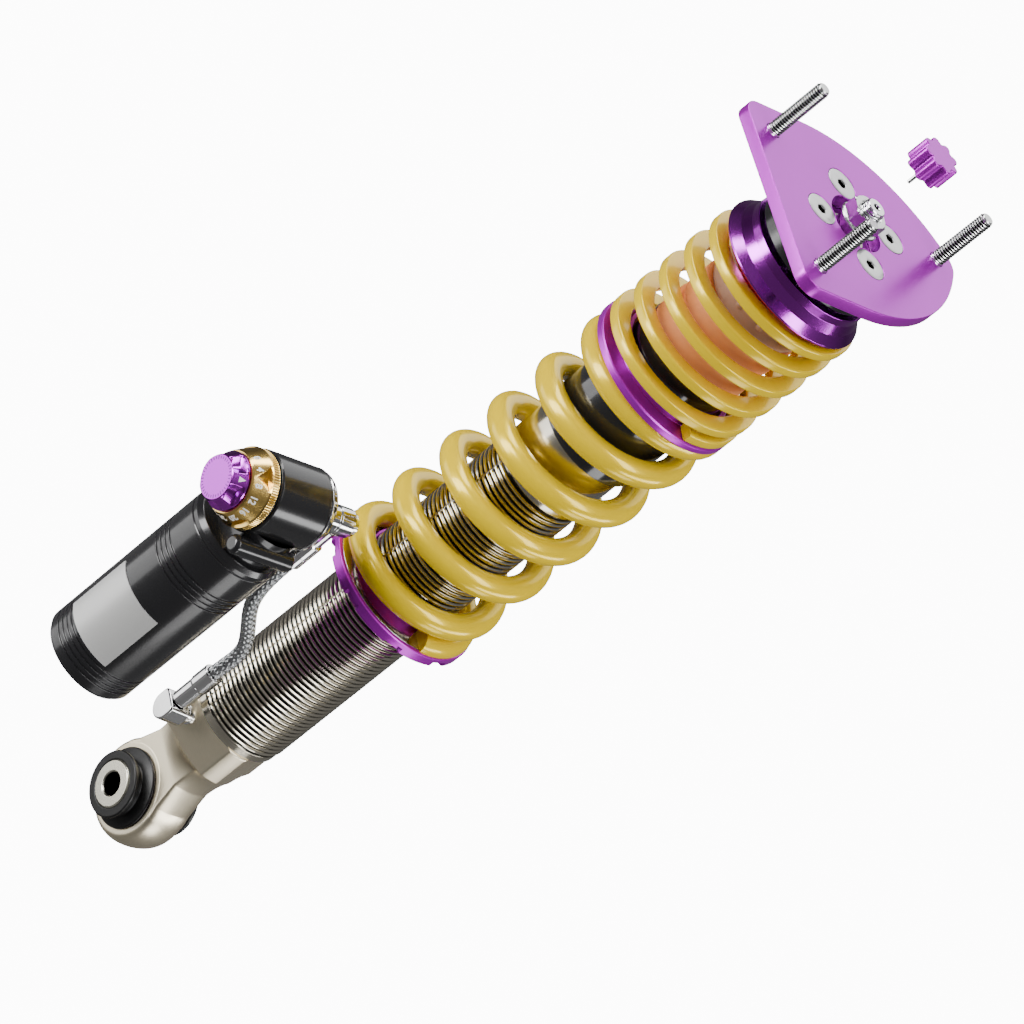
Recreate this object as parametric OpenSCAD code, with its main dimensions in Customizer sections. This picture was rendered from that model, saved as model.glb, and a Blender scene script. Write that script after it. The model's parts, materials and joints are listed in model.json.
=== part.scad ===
// Coilover: a threaded damper with main and helper springs, a ball-jointed top mount
// and a remote gas reservoir on a braided hose. The origin is the centre of the lower
// bush, +X runs along that bush, and +Z runs up the damper to the top mount.

/* [Lower mount] */
// Radius of the bolt hole through the bush sleeve
bolt_hole_r = 6.15; // [5:0.05:8]
// Outer radius of the steel bush sleeve
sleeve_r = 12.9; // [10:0.1:14]
// Length of the bush sleeve
sleeve_len = 47; // [40:1:60]
// Radius of the eye's bore that the rubber is bonded into
eye_bore_r = 20.5; // [19:0.5:22]
// Outer radius of the eye
eye_r = 29; // [27:0.5:34]
// Width of the eye along the bolt
eye_w = 24; // [20:1:28]
// Radius of the rubber rim that stands against the eye's faces
rubber_rim_r = 21.9; // [21:0.1:23]
// Radius of the rubber lip at each end of the bush
rubber_lip_r = 18; // [16:0.5:20]
// Half width of the neck's narrowest part, square to the bolt
neck_half = 22; // [20:0.5:24]
// Height of the wrench collar's lower edge
collar_z = 52; // [50:1:56]
// Height of the wrench collar
collar_h = 23; // [18:1:26]
// How far the wrench collar stands out past the thread
collar_lip = 0.75; // [0.5:0.25:3]
// Depth of the four wrench flats
flat_depth = 4.5; // [3:0.25:5]

/* [Damper body] */
// Outer radius of the threaded tube
body_r = 27.75; // [27:0.05:28]
// Wall of the tube, thread included
body_wall = 4.75; // [4:0.25:5.5]
// Thread pitch
thread_pitch = 3.175; // [2:0.005:4]
// Depth of the thread
thread_depth = 1.1; // [0.6:0.1:1.5]
// Height where the thread starts
thread_z0 = 79; // [78:1:84]
// Height where the thread ends
thread_z1 = 303; // [285:1:310]
// Height of the tube's upper end
body_top = 346; // [340:1:350]
// Radius of the piston rod
rod_r = 8; // [7:0.5:9]
// Radius of the rod's upper end, through the top mount
rod_end_r = 6; // [5:0.5:6.5]
// Height of the rod's tip
rod_tip_z = 537.6; // [536:0.1:542]
// Height of the piston's lower face
piston_z = 290; // [280:1:300]
// Thickness of the piston
piston_h = 12; // [10:1:16]

/* [Springs] */
// Wire diameter of the main spring
main_wire = 14; // [12:0.5:14]
// Rise of the main spring in one turn
main_pitch = 34.8; // [28:0.2:40]
// Height of the face that the main spring sits on
seat_z = 203.3; // [200:0.1:208]
// Radial width of the helper spring's flat wire
helper_w = 9.8; // [8:0.2:10]
// Axial height of the helper spring's flat wire
helper_h = 5.6; // [4:0.2:6]
// Rise of the helper spring in one turn
helper_pitch = 17.4; // [15:0.2:20]
// How far the adjusting ring's rim stands out past the springs
perch_lip = 0.8; // [0:0.1:1.2]
// Height of the adjusting ring's flange
perch_h = 6.5; // [6:0.5:8]
// Number of spanner notches in the adjusting ring
notch_count = 9; // [6:1:12]
// Width of a spanner notch
notch_w = 9; // [6:0.5:12]
// Depth of a spanner notch
notch_depth = 3; // [2:0.5:4]
// Height of the coupler's rim above the spring seat face
main_len = 186.7; // [180:0.1:192]
// Thickness of the coupler's rim
coupler_h = 4.4; // [3:0.2:6]

/* [Bump stop and dust tube] */
// Gap between the dust tube and the thread
dust_gap = 0.45; // [0.3:0.05:0.6]
// Wall of the dust tube
dust_wall = 1.4; // [1:0.1:1.5]
// Height of the dust tube's lower edge
dust_z0 = 338; // [330:1:342]
// Height of the dust tube's upper edge
dust_z1 = 414; // [408:1:418]
// Height of the bump stop's upper face
bump_z1 = 453; // [448:1:458]

/* [Top mount] */
// Height of the face that the helper spring pushes on
top_seat_z = 479.6; // [478:0.2:484]
// Height of the upper spring plate
retainer_h = 15.4; // [13:0.2:16]
// Height of the top plate's upper face
plate_top_z = 523.6; // [522:0.2:526]
// Thickness of the top plate
plate_t = 7.1; // [6:0.1:8]
// Reach of the top plate's flat sides from the rod
plate_side = 58; // [56:0.5:62]
// Radius of the two bowed sides
plate_bow_r = 96.5; // [96:0.5:102]
// Corner radius of the top plate
plate_corner_r = 10; // [8:0.5:12]
// Radius of the opening over the ball joint
plate_hole_r = 16.4; // [15:0.1:16.8]
// Radius of the circle that the three studs stand on
stud_circle_r = 60; // [58:0.5:61]
// Angle between the two near studs and the X axis
stud_angle = 44; // [42:1:48]
// Radius of a mounting stud
stud_r = 4; // [3:0.5:5]
// Length of a stud above the plate
stud_len = 35; // [20:1:45]
// Diameter of the circle of the four countersunk screws
screw_pcd = 50; // [49:0.5:51]
// Head radius of a countersunk screw
screw_head_r = 8.9; // [7:0.1:9]
// Shank radius of a countersunk screw
screw_r = 4; // [3:0.5:4.5]
// Outer radius of the ball joint's housing
housing_r = 36.2; // [35.5:0.1:37]
// Height of the ball's centre
ball_z = 510; // [509:0.5:511]
// Radius of the ball
ball_r = 12; // [11:0.1:12.5]

/* [Reservoir] */
// Distance of the reservoir's axis from the damper along X
res_x = 108; // [104:0.5:114]
// Distance of the reservoir's axis from the damper along Y
res_y = -4; // [-8:0.5:0]
// Outer radius of the reservoir
res_r = 27.4; // [26:0.2:28.4]
// Wall of the reservoir
res_wall = 3; // [2:0.2:4]
// Height of the reservoir's lower end
res_z0 = 80.6; // [70:0.2:84]
// Height where the tube meets the valve head
res_z1 = 191.4; // [188:0.2:193]
// Height of the valve head's axis
head_z = 224.7; // [223:0.1:228]
// Radius of the valve head
head_r = 21.4; // [20:0.1:23]
// Length of the valve head along X
head_len = 34.6; // [32:0.2:38]
// Outer radius of the gold dial
gold_r = 20.8; // [19:0.1:21.2]
// Radius of the small dial's skirt
purple_r = 15.3; // [14:0.1:15.8]

/* [Hose] */
// Radius of the braided hose
hose_r = 4; // [3:0.25:4]
// Outer radius of the crimped ferrules
ferrule_r = 5.8; // [5:0.1:6]
// Length of a crimped ferrule
ferrule_len = 26; // [20:1:28]
// Distance of the upper ferrule's axis from the reservoir's
upper_ferrule_in = 41.7; // [40:0.1:43]
// Direction of the hose port on the collar
port_angle = -5; // [-8:1:0]
// Distance of the lower ferrule's axis from the collar
port_out = 8.2; // [8:0.1:10]

/* [Adjuster knob] */
// Distance of the knob above the rod tip when it is taken off
knob_lift = 30.4; // [24:0.1:40]
// Radius of the knob's body
knob_r = 9; // [8:0.5:10]
// Number of lobes round the knob
knob_lobes = 8; // [6:1:10]
// Height of the knob
knob_h = 13; // [9:0.5:16]
// Length of the knob's pin
knob_pin_len = 9.5; // [7:0.5:12]

/* [Fits] */
// Radial clearance of a sliding or turning fit
fit = 0.06; // [0.02:0.01:0.09]
// Gap between parts that move past each other
gap = 0.35; // [0.3:0.05:0.5]

/* [Hidden] */
$fn = 64;

// Sizes that follow the threaded tube
body_bore_r = body_r - body_wall;
collar_r = body_r + collar_lip;
collar_flat = 2 * (collar_r - flat_depth);
port_reach = collar_r + port_out;
dust_r = body_r + dust_gap + dust_wall;
bump_r = dust_r - 0.2;
spring_gap = 1.4;
main_in_r = dust_r + spring_gap;
helper_out_r = main_in_r + main_wire;
perch_r = helper_out_r + perch_lip;
retainer_r = helper_out_r - 1.7;

// Lower mount
eye_edge = 4.7;
rubber_rim_h = 1.6;
rubber_lip_h = 2;
rubber_waist_r = 15.8;
collar_top = collar_z + collar_h;
collar_flat_turn = 27;
// The neck keeps the eye's flat sides up to here, then flares out to the collar
neck_z = 31;
neck_levels = [neck_z, 36, 41, 45, 48, 50.5, collar_z];
plug_len = 12;
// The hose port: a threaded hole in the collar, square to the damper's axis
port_z = collar_z + 12;
port_r = 5;
port_depth = 5;

// Damper internals
thread_root_r = body_r - thread_depth;
smooth_r = body_r - 0.6;
guide_h = 22;
guide_z = body_top - 2 - guide_h;
seal_r = rod_r + 6;
seal_h = 5;
valve_h = 14;
valve_z = collar_top + plug_len + 2;
rod_foot_r = 5;
piston_r = body_bore_r - 0.6;
band_h = 7;
shoulder_z = top_seat_z + 2.4;
rod_bore_r = 1.6;
rod_bore_depth = 20;

// Spring stack
perch_z = seat_z - perch_h;
skirt_r = body_r + 5;
skirt_h = 6;
sleeve_top = seat_z + 6.6;
perch_sleeve_r = main_in_r - 1.3;
washer_t = 0.8;
washer_r = helper_out_r - 2;
// The main spring's ends are ground flat: the wire's centre starts this far above the seat
main_end = 1.1;
main_lead = 0.05;
main_rise = main_len - 2 * main_end;
main_turns = main_rise / main_pitch + 1 + 2 * main_lead;
main_start = 83;
coupler_z = seat_z + main_len;
coupler_top = coupler_z + coupler_h;
coupler_guide_out = helper_out_r - helper_w - 1.4;
coupler_guide_in = coupler_guide_out - 2.6;
coupler_guide_h = 6;
helper_len = top_seat_z - coupler_top;
helper_rise = helper_len - helper_h - 2 * gap;
helper_turns = helper_rise / helper_pitch + 1;
helper_start = 81;
rings_per_turn = 8;
// A coarse ring runs inside its true circle, so its corners stand out by half of that
coarse = 2 / (1 + cos(180 / rings_per_turn));

// Bump stop
bump_lip_h = 4;
bump_z0 = dust_z1 - bump_lip_h;
bump_groove = 3;
holder_r = bump_r - 0.2;
nub_count = 12;
nub_r = 2.2;

// Top mount
plate_z = plate_top_z - plate_t;
bow_centre_x = 15;
bow_centre_y = plate_bow_r - plate_side;
tip_r = 12;
tip_x = bow_centre_x - sqrt(pow(plate_bow_r - tip_r, 2) - pow(bow_centre_y, 2));
housing_gap = 2.5;
housing_z = top_seat_z + retainer_h + housing_gap;
race_r = 17;
race_top = plate_z - 0.2;
race_z = ball_z - 6.5;
ball_cut = 8.8;
liner_t = 1;
spacer_r = 9;
retainer_floor_h = 7;
nut_flat = 19;
nut_z = plate_top_z + 0.9;
nut_h = 9;
nut_flange_r = 11.4;
nut_flange_h = 2;
head_depth = screw_head_r - screw_r;
screw_len = 15;
stud_knurl = 0.2;
stud_root = 0.3;

// Reservoir
res_bore_r = res_r - res_wall;
cap_h = 6;
neck_top = head_z - 10;
cap_top = res_z1 + 6;
head_neck_r = 23.3;
head_x0 = res_x - 16.6;
head_x1 = head_x0 + head_len;
gold_x0 = head_x1 + 1.2;
gold_x1 = res_x + 34;
gold_neck_r = purple_r + 0.5;
purple_x0 = gold_x1 + gap;
purple_x1 = res_x + 43;
purple_face_r = 11.2;
spindle_r = 5;
ring_x0 = head_x0 - 4.4;
bolt_r = 5.5;
eye_union_r = 7.8;
upper_ferrule_x = res_x - upper_ferrule_in;
eye_union_x0 = upper_ferrule_x - ferrule_r + 0.5;
eye_union_x1 = upper_ferrule_x + ferrule_r - 0.5;
bolt_x0 = eye_union_x0 - 1;
upper_ferrule_z1 = head_z - 7.2;
upper_ferrule_z0 = head_z - 36.7;
boss_y = res_y + 22;
boss_z = head_z - 17.8;
boss_r = 5.15;
label_z0 = res_z0 + 20;
label_z1 = res_z0 + 60;
label_t = 0.5;
label_from = -24;
label_to = 60;
fp_z = res_z0 + 42;
fp_h = 16;

// Hose route: centre points from the lower ferrule to the upper one
lower_ferrule_x = port_reach * cos(port_angle);
lower_ferrule_y = port_reach * sin(port_angle);
lower_ferrule_z1 = port_z + 33;
hose_route = [[lower_ferrule_x, lower_ferrule_y, 97], [lower_ferrule_x - 0.4, lower_ferrule_y, 105],
    [lower_ferrule_x - 0.8, lower_ferrule_y, 113], [lower_ferrule_x + 1, lower_ferrule_y - 0.1, 121],
    [42.6, -3.5, 129], [49, -3.6, 137], [55.4, -3.7, 145], [61, -3.8, 154],
    [upper_ferrule_x - 2, res_y, 164], [upper_ferrule_x - 0.4, res_y, 175],
    [upper_ferrule_x, res_y, upper_ferrule_z0 - 4], [upper_ferrule_x, res_y, upper_ferrule_z0]];
hose_steps = 3;
hose_sides = 10;

// Knob
knob_z = rod_tip_z + knob_lift;
knob_lobe_r = 2.9;
pin_r = 1;

// How much of its way out to the collar the neck has gone at height z
function flare(z) =
    let (t = min((z - neck_z) / (collar_z - neck_z), 1))
    1 - sqrt(1 - t * t);

// Half an outline of the neck, from the eye up to the collar: w is the half width below the flare
function neck_side(w) = [for (z = neck_levels) [w + (collar_r + 0.02 - w) * flare(z), z]];

// The neck's outline seen from one side: foot is its lowest point
function neck_outline(foot, w) =
    let (right = concat([foot], neck_side(w), [[collar_r + 3, collar_z + 1], [collar_r + 3, collar_top + 1]]))
    concat(right, [for (i = [len(right) - 1:-1:0]) [-right[i][0], right[i][1]]]);

// Rise of a spring at t turns from its flat end, for n turns of pitch p with a flat lead of d turns
function spring_rise(t, n, p, d) =
    t < d ? 0 :
    t > n - d ? p * (n - 1 - 2 * d) :
    t < 1 + d ? p * (t - d) * (t - d) / 2 :
    t > n - 1 - d ? p * (n - 1 - 2 * d) - p * (n - d - t) * (n - d - t) / 2 :
    p * (t - d - 0.5);

// Centres of a spring's rings: r is the mean radius, z0 the lowest centre, a0 the first angle
function spring_line(n, p, r, z0, a0, d) = [for (i = [0:ceil(n * rings_per_turn)])
    let (t = min(i / rings_per_turn, n), a = a0 + 360 * t)
    [r * cos(a), r * sin(a), z0 + spring_rise(t, n, p, d)]];

// Least gap between one turn and the next, from the ring centres and the wire's height
function turn_gap(line, h) =
    min([for (i = [0:len(line) - 1 - rings_per_turn]) norm(line[i + rings_per_turn] - line[i])]) - h;

// Rings of a spring: the section's points are [outward, up] from each centre
function spring_rings(line, section) = [for (c = line)
    let (a = atan2(c[1], c[0]))
    [for (s = section) c + [s[0] * cos(a), s[0] * sin(a), s[1]]]];

// Rings with everything outside two heights ground away
function ground(rings, low, high) = [for (r = rings)
    [for (c = r) [c[0], c[1], min(max(c[2], low), high)]]];

// A point of the smooth curve through the route's points, f of the way from point i to i + 1
function route_point(pts, i, f) =
    let (n = len(pts) - 1, a = pts[max(i - 1, 0)], b = pts[i], c = pts[min(i + 1, n)], d = pts[min(i + 2, n)])
    0.5 * (2 * b + (c - a) * f + (2 * a - 5 * b + 4 * c - d) * f * f + (3 * b - a - 3 * c + d) * f * f * f);

function unit(v) = v / norm(v);

// Rings round a route: each lies square to the route, on axes carried from a fixed direction
function route_rings(line, r, sides) = [for (i = [0:len(line) - 1])
    let (t = i == 0 || i == len(line) - 1 ? [0, 0, 1] : unit(line[i + 1] - line[i - 1]))
    let (u = unit(cross([-0.83, -0.56, 0], t)), v = cross(t, u))
    [for (k = [0:sides - 1]) line[i] + r * (u * cos(360 * k / sides) + v * sin(360 * k / sides))]];

// One closed tube through the rings, with flat ends and three-sided faces
module tube_through(rings) {
    sides = len(rings[0]);
    last = len(rings) - 1;
    function at(i, k) = i * sides + k % sides;
    walls = [for (i = [0:last - 1]) for (k = [0:sides - 1])
        each [[at(i, k), at(i + 1, k), at(i + 1, k + 1)], [at(i, k), at(i + 1, k + 1), at(i, k + 1)]]];
    foot = [for (k = [1:sides - 2]) [at(0, 0), at(0, k), at(0, k + 1)]];
    head = [for (k = [1:sides - 2]) [at(last, 0), at(last, k + 1), at(last, k)]];
    polyhedron(points = [for (r = rings) each r], faces = concat(walls, foot, head));
}

// A turned ring about Z
module ring(r_out, r_in, z, h) {
    translate([0, 0, z]) difference() {
        cylinder(r = r_out, h = h);
        translate([0, 0, -1]) cylinder(r = r_in, h = h + 2);
    }
}

// Turns a shape from Z to X, at height z and offset y
module along_x(y, z) {
    translate([0, y, z]) rotate([0, 90, 0]) children();
}

main_r = main_in_r + main_wire / 2;
main_line = spring_line(main_turns, main_pitch, main_r * coarse, seat_z + main_end, main_start, main_lead);
main_section = [for (k = [0:5]) main_wire / 2 * [cos(60 * k), sin(60 * k)]];
helper_r = helper_out_r - helper_w / 2;
helper_line = spring_line(helper_turns, helper_pitch, helper_r * coarse,
    coupler_top + gap + helper_h / 2, helper_start, 0);
helper_section = [[0, -1], [1, -1], [1, 1], [0, 1], [-1, 1], [-1, -1]];
helper_points = [for (s = helper_section) [s[0] * helper_w / 2, s[1] * helper_h / 2]];
echo(main_spring_gap = turn_gap(main_line, main_wire), helper_spring_gap = turn_gap(helper_line, helper_h));

module lower_eye() color([0.80, 0.77, 0.70]) {
    difference() {
        union() {
            // The eye, with rounded shoulders
            rotate([0, 90, 0]) rotate_extrude() polygon([[0, -eye_w / 2], [eye_r - eye_edge, -eye_w / 2],
                [eye_r - eye_edge * 0.6, -eye_w / 2 + eye_edge * 0.25],
                [eye_r - eye_edge * 0.25, -eye_w / 2 + eye_edge * 0.8], [eye_r, -eye_w / 2 + eye_edge * 1.9],
                [eye_r, eye_w / 2 - eye_edge * 1.9], [eye_r - eye_edge * 0.25, eye_w / 2 - eye_edge * 0.8],
                [eye_r - eye_edge * 0.6, eye_w / 2 - eye_edge * 0.25],
                [eye_r - eye_edge, eye_w / 2], [0, eye_w / 2]]);
            // The neck: flat-sided like the eye, and then a flare out to the round collar
            intersection() {
                rotate([90, 0, 0]) linear_extrude(4 * eye_r, center = true)
                    polygon(neck_outline([eye_w / 2 - 0.05, 9], eye_w / 2 - 0.05));
                rotate([90, 0, 90]) linear_extrude(4 * eye_r, center = true)
                    polygon(neck_outline([eye_r - 3.5, 9], neck_half));
                rotate_extrude() polygon(concat([[0, 9], [neck_half + 2, 9]], neck_side(neck_half + 2),
                    [[collar_r, collar_top - 1], [collar_r - 1, collar_top], [0, collar_top]]));
            }
            // The plug that the tube is screwed over
            translate([0, 0, collar_top - 1]) cylinder(r = body_bore_r - 0.05, h = plug_len + 1);
        }
        // Four wrench flats
        for (i = [0:3]) rotate([0, 0, collar_flat_turn + 90 * i])
            translate([collar_flat / 2, -collar_r - 5, collar_z + 2]) cube([collar_r, 2 * collar_r + 10, collar_h]);
        along_x(0, 0) cylinder(r = eye_bore_r, h = 4 * eye_w, center = true);
        rotate([0, 0, port_angle]) along_x(0, port_z)
            translate([0, 0, collar_flat / 2 - port_depth]) cylinder(r = port_r, h = 20);
    }
}

module bush_rubber() color([0.06, 0.06, 0.07]) {
    half = sleeve_len / 2;
    rim_x = eye_w / 2 + rubber_rim_h;
    rotate([0, 90, 0]) rotate_extrude() polygon([[sleeve_r + fit, -half + 0.6], [rubber_lip_r, -half + 0.6],
        [rubber_lip_r, -half + rubber_lip_h], [rubber_waist_r, -half + rubber_lip_h + 2],
        [rubber_waist_r, -rim_x - 2.5], [rubber_rim_r, -rim_x], [rubber_rim_r, -eye_w / 2],
        [eye_bore_r, -eye_w / 2], [eye_bore_r, eye_w / 2], [rubber_rim_r, eye_w / 2], [rubber_rim_r, rim_x],
        [rubber_waist_r, rim_x + 2.5], [rubber_waist_r, half - rubber_lip_h - 2],
        [rubber_lip_r, half - rubber_lip_h], [rubber_lip_r, half - 0.6], [sleeve_r + fit, half - 0.6]]);
}

module bush_sleeve() color([0.85, 0.85, 0.83]) {
    along_x(0, 0) ring(sleeve_r, bolt_hole_r, -sleeve_len / 2, sleeve_len);
}

module damper_body() color([0.62, 0.60, 0.55]) {
    turns = floor((thread_z1 - thread_z0) / thread_pitch);
    thread = [for (i = [0:turns - 1]) each [[thread_root_r, thread_z0 + i * thread_pitch],
        [thread_root_r, thread_z0 + (i + 0.3) * thread_pitch], [body_r, thread_z0 + (i + 0.55) * thread_pitch],
        [body_r, thread_z0 + (i + 0.75) * thread_pitch]]];
    rotate_extrude() polygon(concat([[body_bore_r, collar_top], [smooth_r, collar_top],
        [smooth_r, thread_z0 - 1]], thread,
        [[thread_root_r, thread_z0 + turns * thread_pitch], [smooth_r, thread_z1 + 1.5],
        [smooth_r, body_top - 2], [smooth_r - 2, body_top], [body_bore_r, body_top]]));
}

module base_valve() color("silver") {
    difference() {
        translate([0, 0, valve_z]) cylinder(r = body_bore_r - 0.05, h = valve_h);
        for (i = [0:5]) rotate([0, 0, 60 * i])
            translate([body_bore_r * 0.6, 0, valve_z - 1]) cylinder(r = 2.2, h = valve_h + 2);
    }
}

module rod_guide() color("dimgray") {
    difference() {
        translate([0, 0, guide_z]) cylinder(r = body_bore_r - 0.05, h = guide_h);
        translate([0, 0, guide_z - 1]) cylinder(r = rod_r + fit, h = guide_h + 2);
        translate([0, 0, guide_z + guide_h - seal_h - 1]) cylinder(r = seal_r, h = seal_h + 2);
    }
}

module rod_seal() color([0.1, 0.1, 0.1]) {
    ring(seal_r, rod_r + fit, guide_z + guide_h - seal_h - 1, seal_h);
}

module piston_rod() color([0.82, 0.83, 0.85]) {
    difference() {
        union() {
            translate([0, 0, piston_z - 7]) cylinder(r = rod_foot_r, h = piston_h + 8);
            translate([0, 0, piston_z + piston_h]) cylinder(r = rod_r, h = shoulder_z - piston_z - piston_h);
            translate([0, 0, shoulder_z - 1]) cylinder(r = rod_end_r, h = rod_tip_z - shoulder_z);
            translate([0, 0, rod_tip_z - 1]) cylinder(r1 = rod_end_r, r2 = rod_end_r - 1, h = 1);
        }
        translate([0, 0, rod_tip_z - rod_bore_depth]) cylinder(r = rod_bore_r, h = rod_bore_depth + 1);
    }
}

module piston() color("silver") {
    difference() {
        translate([0, 0, piston_z]) cylinder(r = piston_r, h = piston_h);
        translate([0, 0, piston_z - 1]) cylinder(r = rod_foot_r, h = piston_h + 2);
        ring(piston_r + 1, piston_r - 1.5, piston_z + (piston_h - band_h) / 2, band_h);
        for (i = [0:5]) rotate([0, 0, 60 * i])
            translate([piston_r * 0.6, 0, piston_z - 1]) cylinder(r = 2, h = piston_h + 2);
    }
}

module piston_band() color([0.35, 0.22, 0.12]) {
    ring(body_bore_r - fit, piston_r - 1.5, piston_z + (piston_h - band_h) / 2, band_h);
}

module piston_nut() color("gray") {
    difference() {
        translate([0, 0, piston_z - 6]) cylinder(r = 9, h = 6, $fn = 6);
        translate([0, 0, piston_z - 7]) cylinder(r = rod_foot_r, h = 8);
    }
}

module spring_washer() color([0.72, 0.72, 0.70]) {
    ring(washer_r, perch_sleeve_r + fit, seat_z - washer_t, washer_t);
}

module spring_perch() color([0.55, 0.28, 0.62]) {
    difference() {
        rotate_extrude() polygon([[body_r + fit, perch_z - skirt_h], [skirt_r - 1, perch_z - skirt_h],
            [skirt_r, perch_z - skirt_h + 1], [skirt_r, perch_z], [perch_r - 0.8, perch_z],
            [perch_r, perch_z + 0.8], [perch_r, seat_z - 0.5], [perch_r - 0.5, seat_z],
            [washer_r + fit, seat_z], [washer_r + fit, seat_z - washer_t], [perch_sleeve_r, seat_z - washer_t],
            [perch_sleeve_r, sleeve_top - 1], [perch_sleeve_r - 0.8, sleeve_top], [body_r + fit, sleeve_top]]);
        for (i = [0:notch_count - 1]) rotate([0, 0, 25 + i * 360 / notch_count])
            translate([perch_r - notch_depth, -notch_w / 2, perch_z - 1]) cube([10, notch_w, 6]);
    }
}

module main_spring() color([0.93, 0.74, 0.12]) tube_through(
    ground(spring_rings(main_line, main_section), seat_z + gap, coupler_z - gap));

module coupler_ring() color([0.55, 0.28, 0.62]) {
    rim_r = perch_r - 0.8;
    guide_top = coupler_top + coupler_guide_h;
    rotate_extrude() polygon([[coupler_guide_in, coupler_z], [rim_r - 0.8, coupler_z], [rim_r, coupler_z + 0.8],
        [rim_r, coupler_top - 0.8], [rim_r - 0.8, coupler_top], [coupler_guide_out, coupler_top],
        [coupler_guide_out, guide_top - 1], [coupler_guide_out - 1, guide_top], [coupler_guide_in, guide_top]]);
}

module helper_spring() color([0.93, 0.74, 0.12]) tube_through(spring_rings(helper_line, helper_points));

module dust_tube() color([0.09, 0.09, 0.10]) {
    ring(dust_r, dust_r - dust_wall, dust_z0, dust_z1 - dust_z0);
}

module bump_stop() color([0.93, 0.66, 0.46]) {
    half_z = (dust_z1 + bump_z1) / 2;
    rotate_extrude() polygon([[rod_r + gap, bump_z0], [bump_r - 4, bump_z0], [bump_r - 3, bump_z0 + 1],
        [dust_r - dust_wall - 0.3, bump_z0 + 1.5],
        [dust_r - dust_wall - 0.3, dust_z1], [bump_r - 0.6, dust_z1 + 0.4], [bump_r, dust_z1 + 2],
        [bump_r, half_z - 2.5], [bump_r - bump_groove * 0.4, half_z - 1], [bump_r - bump_groove, half_z],
        [bump_r - bump_groove * 0.4, half_z + 1], [bump_r, half_z + 2.5], [bump_r, bump_z1 - 1],
        [bump_r - 1, bump_z1], [rod_r + gap, bump_z1]]);
}

module bump_stop_holder() color([0.52, 0.36, 0.26]) {
    difference() {
        union() {
            rotate_extrude() polygon([[rod_r, bump_z1], [bump_r - 2.5, bump_z1], [holder_r - 0.6, bump_z1 + 2.5],
                [holder_r - 0.6, top_seat_z - 1], [holder_r - 1.6, top_seat_z], [rod_r, top_seat_z]]);
            for (i = [0:nub_count - 1]) rotate([0, 0, i * 360 / nub_count])
                translate([holder_r - 1.2, 0, bump_z1 + 9]) sphere(r = nub_r, $fn = 24);
        }
        translate([0, 0, bump_z1 - 1]) cylinder(r = rod_r + 0.05, h = 60);
    }
}

module upper_retainer() color([0.50, 0.20, 0.58]) {
    top = top_seat_z + retainer_h;
    floor_top = shoulder_z + retainer_floor_h;
    rotate_extrude() polygon([[rod_end_r + 0.05, shoulder_z], [rod_r + 2, shoulder_z], [rod_r + 2, top_seat_z],
        [coupler_guide_in, top_seat_z], [coupler_guide_in, top_seat_z - 6], [coupler_guide_out, top_seat_z - 6],
        [coupler_guide_out, top_seat_z], [retainer_r, top_seat_z], [retainer_r, top_seat_z + 1.6],
        [retainer_r - 3.9, top_seat_z + 5.7], [housing_r + 1.2, top - 4.5], [housing_r + 1, top],
        [housing_r - 3, top], [housing_r - 6, floor_top], [rod_end_r + 0.05, floor_top]]);
}

module lower_spacer() color("silver") {
    ring(spacer_r, rod_end_r + 0.05, shoulder_z + retainer_floor_h, ball_z - ball_cut - shoulder_z - retainer_floor_h);
}

module uniball_ball() color([0.8, 0.8, 0.8]) {
    difference() {
        translate([0, 0, ball_z]) intersection() {
            sphere(r = ball_r);
            cube([3 * ball_r, 3 * ball_r, 2 * ball_cut], center = true);
        }
        translate([0, 0, ball_z - 20]) cylinder(r = rod_end_r + 0.05, h = 40);
    }
}

module uniball_liner() color([0.90, 0.88, 0.80]) {
    difference() {
        translate([0, 0, ball_z]) intersection() {
            sphere(r = ball_r + liner_t);
            cube([3 * ball_r, 3 * ball_r, 2 * (ball_z - race_z)], center = true);
        }
        translate([0, 0, ball_z]) sphere(r = ball_r + fit);
    }
}

module uniball_race() color([0.83, 0.83, 0.82]) {
    difference() {
        translate([0, 0, race_z]) cylinder(r = race_r, h = race_top - race_z);
        translate([0, 0, ball_z]) sphere(r = ball_r + liner_t + 0.1);
    }
}

module uniball_housing() color([0.10, 0.10, 0.11]) {
    difference() {
        translate([0, 0, housing_z]) cylinder(r = housing_r, h = plate_z - housing_z);
        translate([0, 0, race_z]) cylinder(r = race_r + fit, h = 40);
        translate([0, 0, housing_z - 1]) cylinder(r = race_r - 3, h = 40);
        for (i = [0:3]) rotate([0, 0, 90 * i])
            translate([screw_pcd / 2, 0, plate_top_z - screw_len - 1]) cylinder(r = screw_r + 0.05, h = 30);
    }
}

module upper_spacer() color([0.80, 0.80, 0.78]) {
    ring(spacer_r, rod_end_r + 0.05, ball_z + ball_cut, nut_z - ball_z - ball_cut);
}

// Outline of the top plate: two bowed sides, a flat side with round corners, and a round tip
module plate_outline() {
    corner = plate_side - plate_corner_r;
    intersection() {
        translate([bow_centre_x, -bow_centre_y]) circle(r = plate_bow_r, $fn = 96);
        translate([bow_centre_x, bow_centre_y]) circle(r = plate_bow_r, $fn = 96);
        translate([tip_x, -plate_side]) square([bow_centre_x - tip_x, 2 * plate_side]);
    }
    translate([tip_x, 0]) circle(r = tip_r);
    translate([bow_centre_x, -plate_side]) square([corner - bow_centre_x, 2 * plate_side]);
    translate([corner - 1, -corner]) square([plate_corner_r + 1, 2 * corner]);
    for (s = [-1, 1]) translate([corner, s * corner]) circle(r = plate_corner_r);
}

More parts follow.
